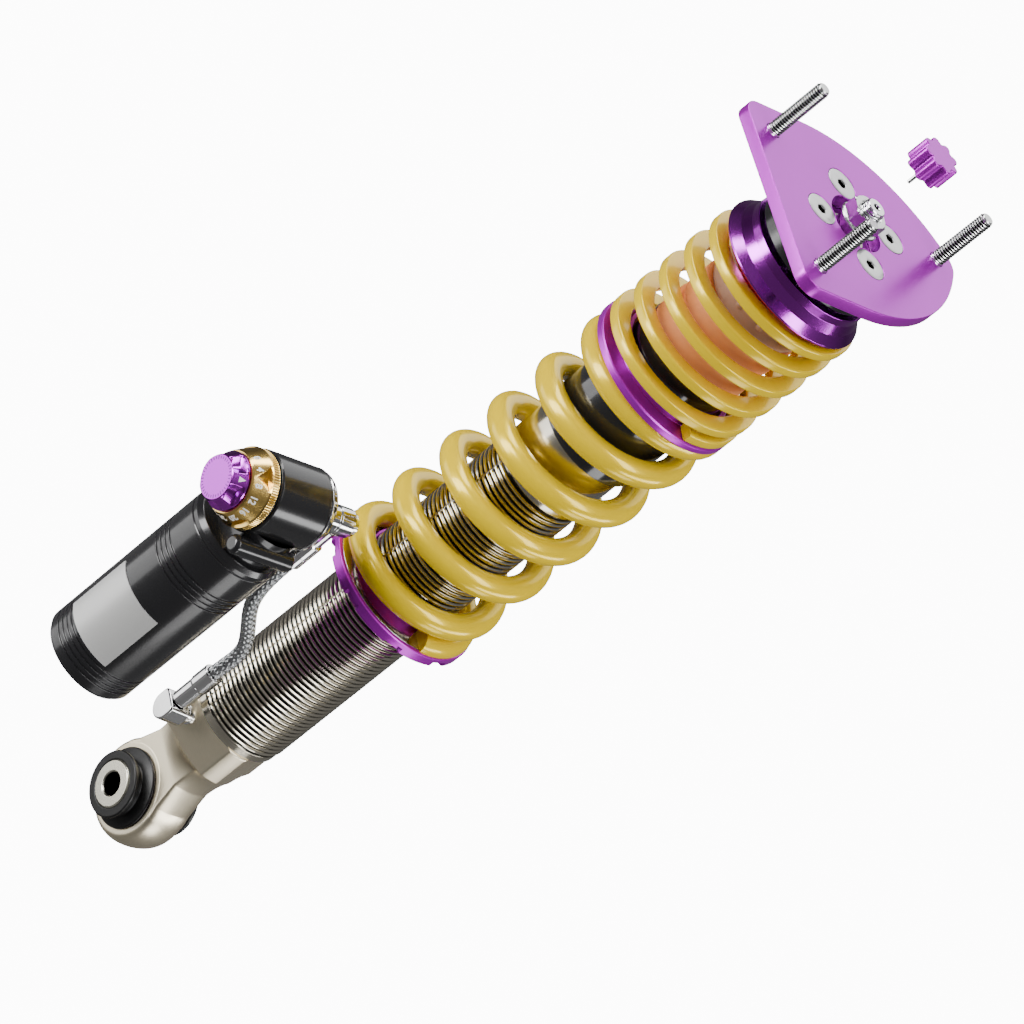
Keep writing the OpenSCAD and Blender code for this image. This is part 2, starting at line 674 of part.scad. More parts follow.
module top_plate() color([0.72, 0.42, 0.80]) {
    difference() {
        translate([0, 0, plate_z]) linear_extrude(plate_t) plate_outline();
        translate([0, 0, plate_z - 1]) cylinder(r = plate_hole_r, h = plate_t + 2);
        for (i = [0:3]) rotate([0, 0, 90 * i]) translate([screw_pcd / 2, 0, 0]) {
            translate([0, 0, plate_z - 1]) cylinder(r = screw_r + 0.05, h = plate_t + 2);
            translate([0, 0, plate_top_z - head_depth])
                cylinder(r1 = screw_r + 0.05, r2 = screw_head_r + 0.05, h = head_depth + 0.001);
        }
        for (a = [-stud_angle, stud_angle, 180]) rotate([0, 0, a])
            translate([stud_circle_r, 0, plate_z - 1]) cylinder(r = stud_r + stud_knurl + 0.05, h = plate_t + 2);
    }
}

module countersunk_screws() color([0.80, 0.82, 0.80]) {
    for (i = [0:3]) rotate([0, 0, 90 * i]) translate([screw_pcd / 2, 0, 0]) difference() {
        union() {
            translate([0, 0, plate_top_z - head_depth]) cylinder(r1 = screw_r, r2 = screw_head_r, h = head_depth);
            translate([0, 0, plate_top_z - screw_len]) cylinder(r = screw_r, h = screw_len - head_depth + 0.01);
        }
        translate([0, 0, plate_top_z - 3]) cylinder(r = 2.9, h = 4, $fn = 6);
    }
}

module mounting_studs() color([0.75, 0.75, 0.77]) {
    for (a = [-stud_angle, stud_angle, 180]) rotate([0, 0, a]) translate([stud_circle_r, 0, 0]) {
        translate([0, 0, plate_z]) cylinder(r = stud_r + stud_knurl, h = plate_t + stud_root);
        translate([0, 0, plate_top_z]) cylinder(r = stud_r, h = stud_len - 1);
        translate([0, 0, plate_top_z + stud_len - 1]) cylinder(r1 = stud_r, r2 = stud_r - 1, h = 1);
        translate([0, 0, plate_z - 2.5]) cylinder(r = stud_r + 3, h = 2.5);
    }
}

module rod_nut() color([0.82, 0.84, 0.83]) {
    difference() {
        union() {
            translate([0, 0, nut_z]) cylinder(r = nut_flange_r, h = nut_flange_h);
            translate([0, 0, nut_z]) cylinder(r = nut_flat / 2 / cos(30), h = nut_h, $fn = 6);
        }
        translate([0, 0, nut_z - 1]) cylinder(r = rod_end_r + 0.05, h = nut_h + 2);
    }
}

module rebound_knob() color([0.62, 0.30, 0.72]) {
    difference() {
        translate([0, 0, knob_z]) linear_extrude(knob_h) union() {
            circle(r = knob_r);
            for (i = [0:knob_lobes - 1]) rotate(i * 360 / knob_lobes)
                translate([knob_r - 0.5, 0]) circle(r = knob_lobe_r);
        }
        translate([0, 0, knob_z - 1]) cylinder(r = pin_r + fit, h = knob_h / 2 + 1);
    }
}

module knob_pin() color("silver") {
    translate([0, 0, knob_z - knob_pin_len]) cylinder(r = pin_r, h = knob_pin_len + knob_h / 2);
}

module reservoir_tube() color([0.10, 0.10, 0.11]) {
    groove = 0.9;
    grooves_at = [for (z0 = [res_z0 + 8, res_z0 + 89]) each [for (i = [0:3]) z0 + 3.4 * i]];
    cuts = [for (z = grooves_at) each [[res_r, z - 0.7], [res_r - groove, z - 0.4], [res_r - groove, z + 0.4],
        [res_r, z + 0.7]]];
    translate([res_x, res_y, 0]) rotate_extrude() polygon(concat([[res_bore_r, res_z0 + 1],
        [res_r - 1.2, res_z0 + 1], [res_r, res_z0 + 2.2]], cuts,
        [[res_r, res_z1 - 0.6], [res_r - 0.4, res_z1], [res_bore_r, res_z1]]));
}

module reservoir_cap() color([0.08, 0.08, 0.09]) {
    translate([res_x, res_y, 0]) difference() {
        union() {
            translate([0, 0, res_z0]) cylinder(r = res_r - 1.4, h = 1);
            translate([0, 0, res_z0 + 1]) cylinder(r = res_bore_r - 0.05, h = cap_h);
        }
        translate([0, 0, res_z0 - 1]) cylinder(r = 7, h = 4);
        translate([0, 0, res_z0 - 1]) cylinder(r = 3.5, h = cap_h + 4);
    }
}

module gas_valve() color([0.75, 0.65, 0.35]) {
    translate([res_x, res_y, 0]) {
        translate([0, 0, res_z0 + 0.6]) cylinder(r = 3.45, h = cap_h + 2);
        translate([0, 0, res_z0 + cap_h + 2]) cylinder(r = 6, h = 3);
    }
}

module floating_piston() color([0.70, 0.70, 0.72]) {
    translate([res_x, res_y, 0]) difference() {
        translate([0, 0, fp_z]) cylinder(r = res_bore_r - fit, h = fp_h);
        translate([0, 0, fp_z - 1]) cylinder(r = res_bore_r - 5, h = fp_h - 5);
        ring(res_bore_r + 1, res_bore_r - 2.5, fp_z + 6, 4);
    }
}

module piston_ring() color([0.1, 0.1, 0.1]) {
    translate([res_x, res_y, 0]) ring(res_bore_r - fit, res_bore_r - 2.5, fp_z + 6, 4);
}

module reservoir_head() color([0.11, 0.11, 0.12]) {
    difference() {
        union() {
            // The cap that closes the tube, with its spigot
            translate([res_x, res_y, 0]) rotate_extrude() polygon([[0, res_z1 - 8], [res_bore_r - 0.05, res_z1 - 8],
                [res_bore_r - 0.05, res_z1], [res_r - 0.2, res_z1], [res_r - 0.2, cap_top - 4],
                [res_r - 1.8, cap_top], [0, cap_top]]);
            // The neck, no wider along X than the valve head
            intersection() {
                translate([res_x, res_y, cap_top - 1]) cylinder(r = head_neck_r, h = neck_top - cap_top + 1);
                translate([head_x0 + 0.5, res_y - res_r, cap_top - 2]) cube([head_len - 1, 2 * res_r, 40]);
            }
            along_x(res_y, head_z) translate([0, 0, head_x0]) cylinder(r = head_r, h = head_len);
            along_x(boss_y, boss_z) translate([0, 0, head_x0 + 0.5]) cylinder(r = boss_r, h = head_len + 5);
        }
        along_x(res_y, head_z) translate([0, 0, head_x1 - 14]) cylinder(r = spindle_r, h = 30);
        along_x(res_y, head_z) translate([0, 0, head_x0 - 1]) cylinder(r = bolt_r, h = 13);
    }
}

module dial_seat() color([0.05, 0.05, 0.05]) {
    along_x(res_y, head_z) ring(gold_r - 0.8, spindle_r + 0.05, head_x1, gold_x0 - head_x1 - fit);
}

module gold_dial() color([0.80, 0.64, 0.25]) {
    along_x(res_y, head_z) difference() {
        rotate_extrude() polygon([[spindle_r + fit, gold_x0], [gold_r - 0.5, gold_x0], [gold_r, gold_x0 + 0.6],
            [gold_r, gold_x0 + 4.5], [gold_r - 0.8, gold_x0 + 5.2], [gold_neck_r + 0.6, gold_x1 - 1],
            [gold_neck_r, gold_x1], [spindle_r + fit, gold_x1]]);
        // Finger scallops round the tapered face
        for (i = [0:3]) rotate([0, 0, 66 + 90 * i])
            translate([gold_r + 4.2, 0, gold_x0 + 5]) rotate([0, -20, 0]) cylinder(r = 5, h = 20);
    }
}

module purple_dial() color([0.60, 0.22, 0.72]) {
    along_x(res_y, head_z) difference() {
        rotate_extrude() polygon([[spindle_r + fit, purple_x0], [purple_r - 0.4, purple_x0],
            [purple_r, purple_x0 + 0.5], [purple_r, purple_x0 + 1.5], [purple_face_r + 0.6, purple_x1 - 1],
            [purple_face_r, purple_x1], [0, purple_x1], [0, purple_x0 + 6], [spindle_r + fit, purple_x0 + 6]]);
        // Finger scallops
        for (i = [0:4]) rotate([0, 0, 108 + 72 * i])
            translate([purple_r + 2.4, 0, purple_x0 + 1.5]) rotate([0, -14, 0]) cylinder(r = 4.4, h = 20);
    }
}

module dial_spindle() color("gray") {
    along_x(res_y, head_z) translate([0, 0, head_x1 - 14])
        cylinder(r = spindle_r, h = purple_x0 + 5.8 - head_x1 + 14);
}

module head_end_ring() color([0.85, 0.85, 0.84]) {
    along_x(res_y, head_z) difference() {
        translate([0, 0, ring_x0]) cylinder(r1 = head_r - 1, r2 = head_r + 0.2, h = head_x0 - ring_x0);
        translate([0, 0, ring_x0 - 1]) cylinder(r = bolt_r, h = 10);
    }
}

module union_bolt() color([0.80, 0.80, 0.80]) {
    along_x(res_y, head_z) {
        translate([0, 0, eye_union_x0]) cylinder(r = bolt_r, h = head_x0 + 11 - eye_union_x0);
        translate([0, 0, bolt_x0 - 2]) cylinder(r = eye_union_r - 1.6, h = eye_union_x0 - bolt_x0 + 2);
    }
}

module union_eye() color([0.86, 0.86, 0.86]) {
    along_x(res_y, head_z) difference() {
        union() {
            translate([0, 0, eye_union_x0]) cylinder(r = eye_union_r, h = eye_union_x1 - eye_union_x0);
            translate([0, 0, eye_union_x1]) cylinder(r = eye_union_r - 0.8, h = ring_x0 - eye_union_x1);
        }
        translate([0, 0, eye_union_x0 - 1]) cylinder(r = bolt_r + 0.02, h = ring_x0 - eye_union_x0 + 2);
    }
}

module upper_ferrule() color([0.85, 0.85, 0.85]) {
    difference() {
        translate([upper_ferrule_x, res_y, 0]) {
            translate([0, 0, upper_ferrule_z0]) cylinder(r = ferrule_r - 0.3, h = 18);
            translate([0, 0, upper_ferrule_z0 + 18]) cylinder(r = ferrule_r - 1.6, h = head_z - upper_ferrule_z0 - 18);
        }
        along_x(res_y, head_z) translate([0, 0, upper_ferrule_x - 20]) cylinder(r = eye_union_r + 0.02, h = 40);
    }
}

module braided_hose() color([0.55, 0.56, 0.57]) {
    last = len(hose_route) - 2;
    line = concat([for (i = [0:last]) for (j = [0:hose_steps - 1]) route_point(hose_route, i, j / hose_steps)],
        [hose_route[last + 1]]);
    tube_through(route_rings(line, hose_r, hose_sides));
}

module lower_ferrule() color([0.85, 0.85, 0.85]) {
    translate([lower_ferrule_x, lower_ferrule_y, 0]) {
        translate([0, 0, lower_ferrule_z1 - 12]) cylinder(r = ferrule_r, h = 12);
        translate([0, 0, lower_ferrule_z1 - ferrule_len]) cylinder(r = ferrule_r - 0.5, h = ferrule_len - 12);
    }
}

module lower_union() color([0.88, 0.88, 0.88]) {
    rotate([0, 0, port_angle]) difference() {
        union() {
            translate([port_reach - 6.5, -7.5, port_z - 1]) cube([13, 15, 8]);
            along_x(0, port_z - 1) translate([0, 0, port_reach - 6.5]) cylinder(r = 7.5, h = 13);
        }
        along_x(0, port_z) translate([0, 0, port_reach - 7]) cylinder(r = port_r - 1, h = 5);
    }
}

module union_screw() color([0.55, 0.55, 0.55]) {
    rotate([0, 0, port_angle]) along_x(0, port_z) {
        translate([0, 0, port_reach - 6.5]) cylinder(r = port_r - 1, h = 4);
        translate([0, 0, collar_flat / 2 - port_depth])
            cylinder(r = port_r, h = port_reach - 6.5 - collar_flat / 2 + port_depth);
    }
}

module label_plate() color([0.68, 0.68, 0.67]) {
    translate([res_x, res_y, label_z0]) rotate([0, 0, label_from]) rotate_extrude(angle = label_to - label_from)
        translate([res_r + 0.02, 0]) square([label_t, label_z1 - label_z0]);
}

lower_eye();
bush_rubber();
bush_sleeve();
damper_body();
base_valve();
rod_guide();
rod_seal();
piston_rod();
piston();
piston_band();
piston_nut();
spring_washer();
spring_perch();
main_spring();
coupler_ring();
helper_spring();
dust_tube();
bump_stop();
bump_stop_holder();
upper_retainer();
lower_spacer();
uniball_ball();
uniball_liner();
uniball_race();
uniball_housing();
upper_spacer();
top_plate();
countersunk_screws();
mounting_studs();
rod_nut();
rebound_knob();
knob_pin();
reservoir_tube();
reservoir_cap();
gas_valve();
floating_piston();
piston_ring();
reservoir_head();
dial_seat();
gold_dial();
purple_dial();
dial_spindle();
head_end_ring();
union_bolt();
union_eye();
upper_ferrule();
braided_hose();
lower_ferrule();
lower_union();
union_screw();
label_plate();
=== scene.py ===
"""Coilover in Blender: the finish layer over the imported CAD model, in metres, in the row frame."""

import json
import math

import bpy
import numpy as np
from mathutils import Matrix, Vector


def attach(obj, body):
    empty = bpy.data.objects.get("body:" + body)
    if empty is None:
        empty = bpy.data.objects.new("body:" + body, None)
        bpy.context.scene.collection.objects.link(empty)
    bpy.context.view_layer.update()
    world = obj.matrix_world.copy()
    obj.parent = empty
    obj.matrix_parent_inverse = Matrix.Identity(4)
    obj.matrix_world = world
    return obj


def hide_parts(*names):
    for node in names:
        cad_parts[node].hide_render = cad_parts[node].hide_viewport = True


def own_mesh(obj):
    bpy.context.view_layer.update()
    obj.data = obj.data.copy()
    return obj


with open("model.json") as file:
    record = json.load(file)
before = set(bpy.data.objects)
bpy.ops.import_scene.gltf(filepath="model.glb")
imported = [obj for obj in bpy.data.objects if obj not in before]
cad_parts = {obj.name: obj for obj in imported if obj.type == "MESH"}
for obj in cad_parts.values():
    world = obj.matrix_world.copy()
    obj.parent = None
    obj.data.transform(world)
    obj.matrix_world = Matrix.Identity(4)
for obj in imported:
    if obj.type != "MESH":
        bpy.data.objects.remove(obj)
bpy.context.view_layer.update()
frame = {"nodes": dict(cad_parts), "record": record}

# ---------------------------------------------------------------- top plate
# Laser-cut and machined aluminium plate, anodised violet: two bowed sides meet at a round tip, the third
# side is flat with round corners. Cut as one outline with its holes, with eased edges; it bolts to the
# car's body.
MM = 0.001
PLATE_LOW, PLATE_TOP, PLATE_EDGE = 516.5, 523.6, 0.5
SCREW_CIRCLE, SCREW_HOLE = 25, 9.0
STUD_CIRCLE, STUD_HOLE, STUD_ANGLES = 60, 4.25, (44, -44, 180)


def circle(x, y, r, n=96, start=0.0, end=360.0):
    """Points of an arc in mm; a full circle leaves out the repeated last point."""
    a = np.radians(np.linspace(start, end, n, endpoint=abs(end - start) < 359.9))
    return np.stack([x + r * np.cos(a), y + r * np.sin(a)], -1)


def new_object(name, mesh, angle):
    """Object of a mesh, smooth but for edges that turn by more than the angle, in degrees."""
    mesh.polygons.foreach_set("use_smooth", [True] * len(mesh.polygons))
    mesh.set_sharp_from_angle(angle=math.radians(angle))
    obj = bpy.data.objects.new(name, mesh)
    bpy.context.scene.collection.objects.link(obj)
    return obj


def flat_curve(name, outlines, z0, z1, bevel, resolution=3):
    """Flat plate from closed outlines in mm (the first outside, the rest holes), extruded from z0 to z1 with a
    rounded edge, made into a mesh."""
    curve = bpy.data.curves.new(name, "CURVE")
    curve.dimensions = "2D"
    curve.fill_mode = "BOTH"
    curve.extrude = ((z1 - z0) / 2 - bevel) * MM
    curve.bevel_depth = bevel * MM
    curve.bevel_resolution = resolution
    curve.offset = -bevel * MM
    for outline in outlines:
        spline = curve.splines.new("POLY")
        spline.points.add(len(outline) - 1)
        co = np.ones((len(outline), 4))
        co[:, :2] = np.asarray(outline) * MM
        co[:, 2] = 0
        spline.points.foreach_set("co", co.ravel())
        spline.use_cyclic_u = True
    temporary = bpy.data.objects.new(name, curve)
    bpy.context.scene.collection.objects.link(temporary)
    evaluated = temporary.evaluated_get(bpy.context.evaluated_depsgraph_get())
    mesh = bpy.data.meshes.new_from_object(evaluated)
    bpy.data.objects.remove(temporary)
    mesh.transform(Matrix.Translation((0, 0, (z0 + z1) / 2 * MM)))
    return new_object(name, mesh, 30)


def plate_outline():
    """Two bowed arcs about points across the middle line, a tip disc that touches both from inside, and two
    corner arcs with the straight side between them."""
    bow, bow_x, side, tip_r, corner_r = 96.5, 15, 58.0, 12, 10
    tip_x = bow_x - math.sqrt((bow - tip_r) ** 2 - (bow - side) ** 2)
    meet = math.degrees(math.atan2(bow - side, tip_x - bow_x))
    corner = side - corner_r
    upper = circle(bow_x, side - bow, bow, 90, 90, meet)
    tip = circle(tip_x, 0, tip_r, 40, meet, 360 - meet)
    lower = circle(bow_x, bow - side, bow, 90, 360 - meet, 270)
    corner_a = circle(corner, -corner, corner_r, 24, -90, 0)
    corner_b = circle(corner, corner, corner_r, 24, 0, 90)
    return np.concatenate([upper, tip[1:-1], lower, corner_a, corner_b])


def plate_opening():
    """The opening over the ball joint: a circle of radius 16.4 that draws in by 0.9 beside each screw."""
    a = np.linspace(0, 2 * np.pi, 144, endpoint=False)
    r = 16.4 - 0.9 * np.clip(np.cos(4 * a), 0, 1) ** 2
    return np.stack([r * np.cos(a), r * np.sin(a)], -1)


def wear_group():
    """Shared effect: a little dirt and grain. Colour is varied by slow noise, roughness by fine noise."""
    group = bpy.data.node_groups.new("FineWear", "ShaderNodeTree")
    face = group.interface
    face.new_socket("Color", in_out="INPUT", socket_type="NodeSocketColor")
    for label, value in (("Roughness", 0.3), ("Variation", 0.05), ("Grain", 0.05), ("Scale", 200.0)):
        face.new_socket(label, in_out="INPUT", socket_type="NodeSocketFloat").default_value = value
    face.new_socket("Color", in_out="OUTPUT", socket_type="NodeSocketColor")
    face.new_socket("Roughness", in_out="OUTPUT", socket_type="NodeSocketFloat")
    face.new_socket("Height", in_out="OUTPUT", socket_type="NodeSocketFloat")
    n, link = group.nodes, group.links.new
    given, out, where, slow, fine, centred, share, tint, grain, rough = (n.new(x) for x in (
        "NodeGroupInput", "NodeGroupOutput", "ShaderNodeTexCoord", "ShaderNodeTexNoise", "ShaderNodeTexNoise",
        "ShaderNodeMath", "ShaderNodeMath", "ShaderNodeVectorMath", "ShaderNodeMath", "ShaderNodeMath"))
    slow.inputs["Scale"].default_value = 45
    slow.inputs["Detail"].default_value = 4
    fine.inputs["Detail"].default_value = 3
    link(where.outputs["Object"], slow.inputs["Vector"])
    link(where.outputs["Object"], fine.inputs["Vector"])
    link(given.outputs["Scale"], fine.inputs["Scale"])
    for node, noise in ((centred, slow), (grain, fine)):
        node.operation = "SUBTRACT"
        node.inputs[1].default_value = 0.5
        link(noise.outputs["Fac"], node.inputs[0])
    share.operation = rough.operation = "MULTIPLY_ADD"
    share.inputs[2].default_value = 1.0
    link(centred.outputs[0], share.inputs[0])
    link(given.outputs["Variation"], share.inputs[1])
    tint.operation = "SCALE"
    link(given.outputs["Color"], tint.inputs[0])
    link(share.outputs[0], tint.inputs["Scale"])
    link(tint.outputs[0], out.inputs["Color"])
    link(grain.outputs[0], rough.inputs[0])
    link(given.outputs["Grain"], rough.inputs[1])
    link(given.outputs["Roughness"], rough.inputs[2])
    link(rough.outputs[0], out.inputs["Roughness"])
    link(fine.outputs["Fac"], out.inputs["Height"])
    return group


WEAR = wear_group()


def finish(name, color, rough, metal=0.0, coat=0.0, variation=0.08, grain=0.08, scale=900.0, bump=0.02,
           spec=0.5):
    """Material of one finish. Noise in object space varies its colour and roughness and lifts a fine grain."""
    m = bpy.data.materials.new(name)
    m.use_nodes = True
    n, link = m.node_tree.nodes, m.node_tree.links.new
    shader = n["Principled BSDF"]
    shader.inputs["Metallic"].default_value = metal
    shader.inputs["Coat Weight"].default_value = coat
    shader.inputs["Coat Roughness"].default_value = 0.06
    shader.inputs["Specular IOR Level"].default_value = spec
    wear = n.new("ShaderNodeGroup")
    wear.node_tree = WEAR
    wear.inputs["Color"].default_value = (*color, 1)
    for label, value in (("Roughness", rough), ("Variation", variation), ("Grain", grain), ("Scale", scale)):
        wear.inputs[label].default_value = value
    link(wear.outputs["Color"], shader.inputs["Base Color"])
    link(wear.outputs["Roughness"], shader.inputs["Roughness"])
    lift = n.new("ShaderNodeBump")
    lift.inputs["Strength"].default_value = bump
    lift.inputs["Distance"].default_value = 0.0003
    link(wear.outputs["Height"], lift.inputs["Height"])
    link(lift.outputs["Normal"], shader.inputs["Normal"])
    return m


def done(obj, material, body, slot_name=None, *replaced):
    """Gives a finished piece its material and its body, and hides the CAD nodes it stands for; slot_name is
    not used.
    """
    obj.data.materials.clear()
    obj.data.materials.append(material)
    if replaced:
        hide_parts(*replaced)
    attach(obj, body)
    return obj


VIOLET = finish("VioletAnodised", (0.47, 0.012, 0.55), 0.30, 0.7, variation=0.06, bump=0.05)
holes = [circle(SCREW_CIRCLE * math.cos(a), SCREW_CIRCLE * math.sin(a), SCREW_HOLE, 64)
         for a in np.radians([0, 90, 180, 270])]
holes += [circle(STUD_CIRCLE * math.cos(a), STUD_CIRCLE * math.sin(a), STUD_HOLE, 48)
          for a in np.radians(STUD_ANGLES)]
plate = flat_curve("TopPlate", [plate_outline(), plate_opening()] + holes, PLATE_LOW, PLATE_TOP, PLATE_EDGE)
done(plate, VIOLET, "plate", "violet", "top_plate")

# ---------------------------------------------------------------- countersunk screws
# Four zinc-plated M8 countersunk screws hold the ball housing under the plate. Each head is turned, and the
# hexagon socket in it is a ring of the same grid, with painted shade inside: the colour falls to near black
# below 522.5 mm.
SOCKET_FLATS, SCREW_POINTS = 5.1, 72


def surface(name, grid, close_rows=False, close_cols=True, cap_start=False, cap_end=False, angle=32):
    """Mesh through grid[i, j]: rows i run along the piece and columns j round it. With columns
    counter-clockwise about the way the rows run, normals point out. Metres."""
    rows, cols = grid.shape[:2]
    i = np.arange(rows if close_rows else rows - 1)
    j = np.arange(cols if close_cols else cols - 1)
    a, b = (x.ravel() for x in np.meshgrid(i, j, indexing="ij"))
    a2, b2 = (a + 1) % rows, (b + 1) % cols
    faces = np.stack([a * cols + b, a * cols + b2, a2 * cols + b2, a2 * cols + b], -1).tolist()
    if cap_start:
        faces.append(list(range(cols))[::-1])
    if cap_end:
        faces.append([(rows - 1) * cols + k for k in range(cols)])
    mesh = bpy.data.meshes.new(name)
    mesh.from_pydata(grid.reshape(-1, 3).tolist(), [], faces)
    mesh.update()
    return new_object(name, mesh, angle)


def place(r, a, z, axis="Z", centre=(0, 0, 0)):
    """Points r from an axis at angle a and height z: (r cos a, r sin a, z), or for axis X (z, r cos a, r sin
    a)."""
    r, a, z = np.broadcast_arrays(r, a, z)
    if axis == "Z":
        p = np.stack([r * np.cos(a), r * np.sin(a), z], -1)
    else:
        p = np.stack([z, r * np.cos(a), r * np.sin(a)], -1)
    return (p + np.array(centre)) * MM


def angles(n):
    """n even angles round one turn."""
    return np.linspace(0, 2 * np.pi, n, endpoint=False)


def hexagon(a, flat, turn=0.0):
    """Distance to a hexagon's side at angle a, for the width across its flats."""
    return flat / 2 / np.cos((a - turn) % (math.pi / 3) - math.pi / 6)


def ringed(name, rows, n, centre=(0, 0, 0), capped=False, angle=32):
    """Surface through rings about Z: each row has a radius, one number or one for each of n angles, and a
    height."""
    r = np.concatenate([np.broadcast_to(x[0], (1, n)) for x in rows])
    z = np.concatenate([np.full((1, n), x[1]) for x in rows])
    grid = place(r, angles(n)[None, :], z, "Z", centre)
    return surface(name, grid, cap_start=capped, cap_end=capped, angle=angle)


def paint_recess_shade(material, centre, mask, low, high, least):
    """Painted shade for recesses: the base colour falls to a share of itself as the distance from the centre,
    counted along the masked axes only, drops from high to low. Metres."""
    n, link = material.node_tree.nodes, material.node_tree.links.new
    shader = n["Principled BSDF"]
    before = shader.inputs["Base Color"].links[0].from_socket
    where, apart, flat, reach, band, tint = (n.new("ShaderNode" + x) for x in (
        "TexCoord", "VectorMath", "VectorMath", "VectorMath", "MapRange", "VectorMath"))
    for node, work in ((apart, "SUBTRACT"), (flat, "MULTIPLY"), (reach, "LENGTH"), (tint, "SCALE")):
        node.operation = work
    apart.inputs[1].default_value = centre
    flat.inputs[1].default_value = mask
    link(where.outputs["Object"], apart.inputs[0])
    link(apart.outputs[0], flat.inputs[0])
    link(flat.outputs[0], reach.inputs[0])
    link(reach.outputs["Value"], band.inputs["Value"])
    band.interpolation_type = "SMOOTHSTEP"
    for label, value in (("From Min", low), ("From Max", high), ("To Min", least), ("To Max", 1.0)):
        band.inputs[label].default_value = value
    link(before, tint.inputs[0])
    link(band.outputs["Result"], tint.inputs["Scale"])
    link(tint.outputs[0], shader.inputs["Base Color"])
    return material


for k, (x, y) in enumerate(((1, 0), (0, 1), (-1, 0), (0, -1))):
    socket = hexagon(angles(SCREW_POINTS)[None, :], SOCKET_FLATS, 0.2 + 0.7 * k)
    rows = [(4.0, 508.6), (4.0, 518.6), (8.5, 523.1), (8.8, 523.35), (8.8, 523.5), (8.6, PLATE_TOP)]
    rows += [(socket + 0.35, PLATE_TOP), (socket + 0.1, 523.5), (socket, 523.3), (socket, 519.6)]
    rows += [(0.02, 518.6)]
    spot = (SCREW_CIRCLE * x, SCREW_CIRCLE * y, 0)
    screw = ringed("CountersunkScrew%d" % (k + 1), rows, SCREW_POINTS, spot, True)
    recess_shaded = finish("ScrewZinc%d" % (k + 1), (0.62, 0.63, 0.62), 0.30, 1.0, variation=0.10, bump=0.05)
    # Painted shade: the socket's colour falls to near black below the head's face.
    paint_recess_shade(recess_shaded, (0, 0, 0), (0, 0, 1), 0.5225, 0.5233, 0.01)
    done(screw, recess_shaded, "plate", "zinc", *(["countersunk_screws"] if k == 0 else []))

# ---------------------------------------------------------------- mounting studs
# Three zinc-plated 8 mm studs pressed in from below, with a flat head under the plate, a right-hand thread of
# 1.5 mm pitch above it and a chamfered tip. The thread's roots carry painted shade: the colour falls to near
# black within 3.8 mm of the axis.
STUD_R, STUD_PITCH, STUD_DEPTH = 4.0, 1.5, 0.85


def rounded(points, radius=0.5, steps=4):
    """Profile (r, z) with each inner corner replaced by an arc of the given radius: the arc starts and ends
    radius * tan(half the turn) from the corner, and a holding point sits just outside each end. A third
    number on a point is its own radius, and 0 keeps it sharp."""
    out = [np.array(points[0][:2], float)]
    for before, here, after in zip(points[:-2], points[1:-1], points[2:]):
        p, a, b = (np.array(x[:2], float) for x in (here, before, after))
        want = here[2] if len(here) > 2 else radius
        da, db = a - p, b - p
        la, lb = np.hypot(*da), np.hypot(*db)
        if want <= 0 or la < 1e-6 or lb < 1e-6:
            out.append(p)
            continue
        da, db = da / la, db / lb
        half = math.acos(max(-1.0, min(1.0, float(da @ db)))) / 2
        if half > math.pi / 2 - 0.05:
            out.append(p)
            continue
        cut = min(want / math.tan(half), 0.45 * la, 0.45 * lb)
        r = cut * math.tan(half)
        middle = p + (da + db) / np.hypot(*(da + db)) * r / math.sin(half)
        s, e = p + da * cut - middle, p + db * cut - middle
        s0, e0 = math.atan2(s[1], s[0]), math.atan2(e[1], e[0])
        turn = (e0 - s0 + math.pi) % (2 * math.pi) - math.pi
        hold = 0.12 * cut
        out.append(p + da * (cut + hold))
        for t in np.linspace(0, 1, steps + 1):
            out.append(middle + r * np.array([math.cos(s0 + turn * t), math.sin(s0 + turn * t)]))
        out.append(p + db * (cut + hold))
    out.append(np.array(points[-1][:2], float))
    return np.array(out)


def turned(name, profile, axis="Z", centre=(0, 0, 0), n=128, shape=None, angle=32):
    """Lathe surface: the profile (r, z) in mm swept round the axis. shape(r, z, a) can change r round the
    turn. A profile that starts or ends on the axis is closed there by its own points."""
    profile = np.asarray(profile, float)
    a = angles(n)
    r = np.repeat(profile[:, :1], n, 1)
    z = np.repeat(profile[:, 1:2], n, 1)
    if shape is not None:
        r = shape(r, z, a[None, :])
    return surface(name, place(r, a[None, :], z, axis, centre), angle=angle)


def threaded(name, r_out, depth, pitch, z0, z1, centre=(0, 0, 0), n=48, crest=0.18, root=0.18):
    """Right-hand screw thread: rows follow the helix z = z0 + pitch (i / steps + a / 2 pi), and r falls from
    the crest to the root as a trapezium of that phase. It fades out to the root over half a turn at each
    end."""
    steps = 8
    a = angles(n)
    turns = (z1 - z0) / pitch
    i = np.arange(-steps, int(math.ceil(turns * steps)) + 1)
    phase = (i[:, None] % steps) / steps * np.ones((1, n))
    ramp = np.clip((np.abs(phase - 0.5) * 2 - crest) / (1 - crest - root), 0, 1)
    z = z0 + pitch * (i[:, None] / steps + a[None, :] / (2 * np.pi))
    end = np.clip(np.minimum(z - z0, z1 - z) / (0.5 * pitch), 0, 1)
    r = r_out - depth * (1 - (1 - ramp) * end)
    return surface(name, place(r, a[None, :], np.clip(z, z0, z1), "Z", centre), angle=50)


def join(name, parts):
    """One object from several, in one mesh, with their faces as they are."""
    points, faces, offset = [], [], 0
    for m in [p.data for p in parts]:
        co = np.zeros(len(m.vertices) * 3)
        m.vertices.foreach_get("co", co)
        points.append(co.reshape(-1, 3))
        count = np.zeros(len(m.polygons), int)
        m.polygons.foreach_get("loop_total", count)
        loops = np.zeros(len(m.loops), int)
        m.loops.foreach_get("vertex_index", loops)
        faces += [f.tolist() for f in np.split(loops + offset, np.cumsum(count)[:-1])]
        offset += len(m.vertices)
    mesh = bpy.data.meshes.new(name)
    mesh.from_pydata(np.concatenate(points).tolist(), [], faces)
    mesh.update()
    for p in parts:
        bpy.data.objects.remove(p)
    return new_object(name, mesh, 32)


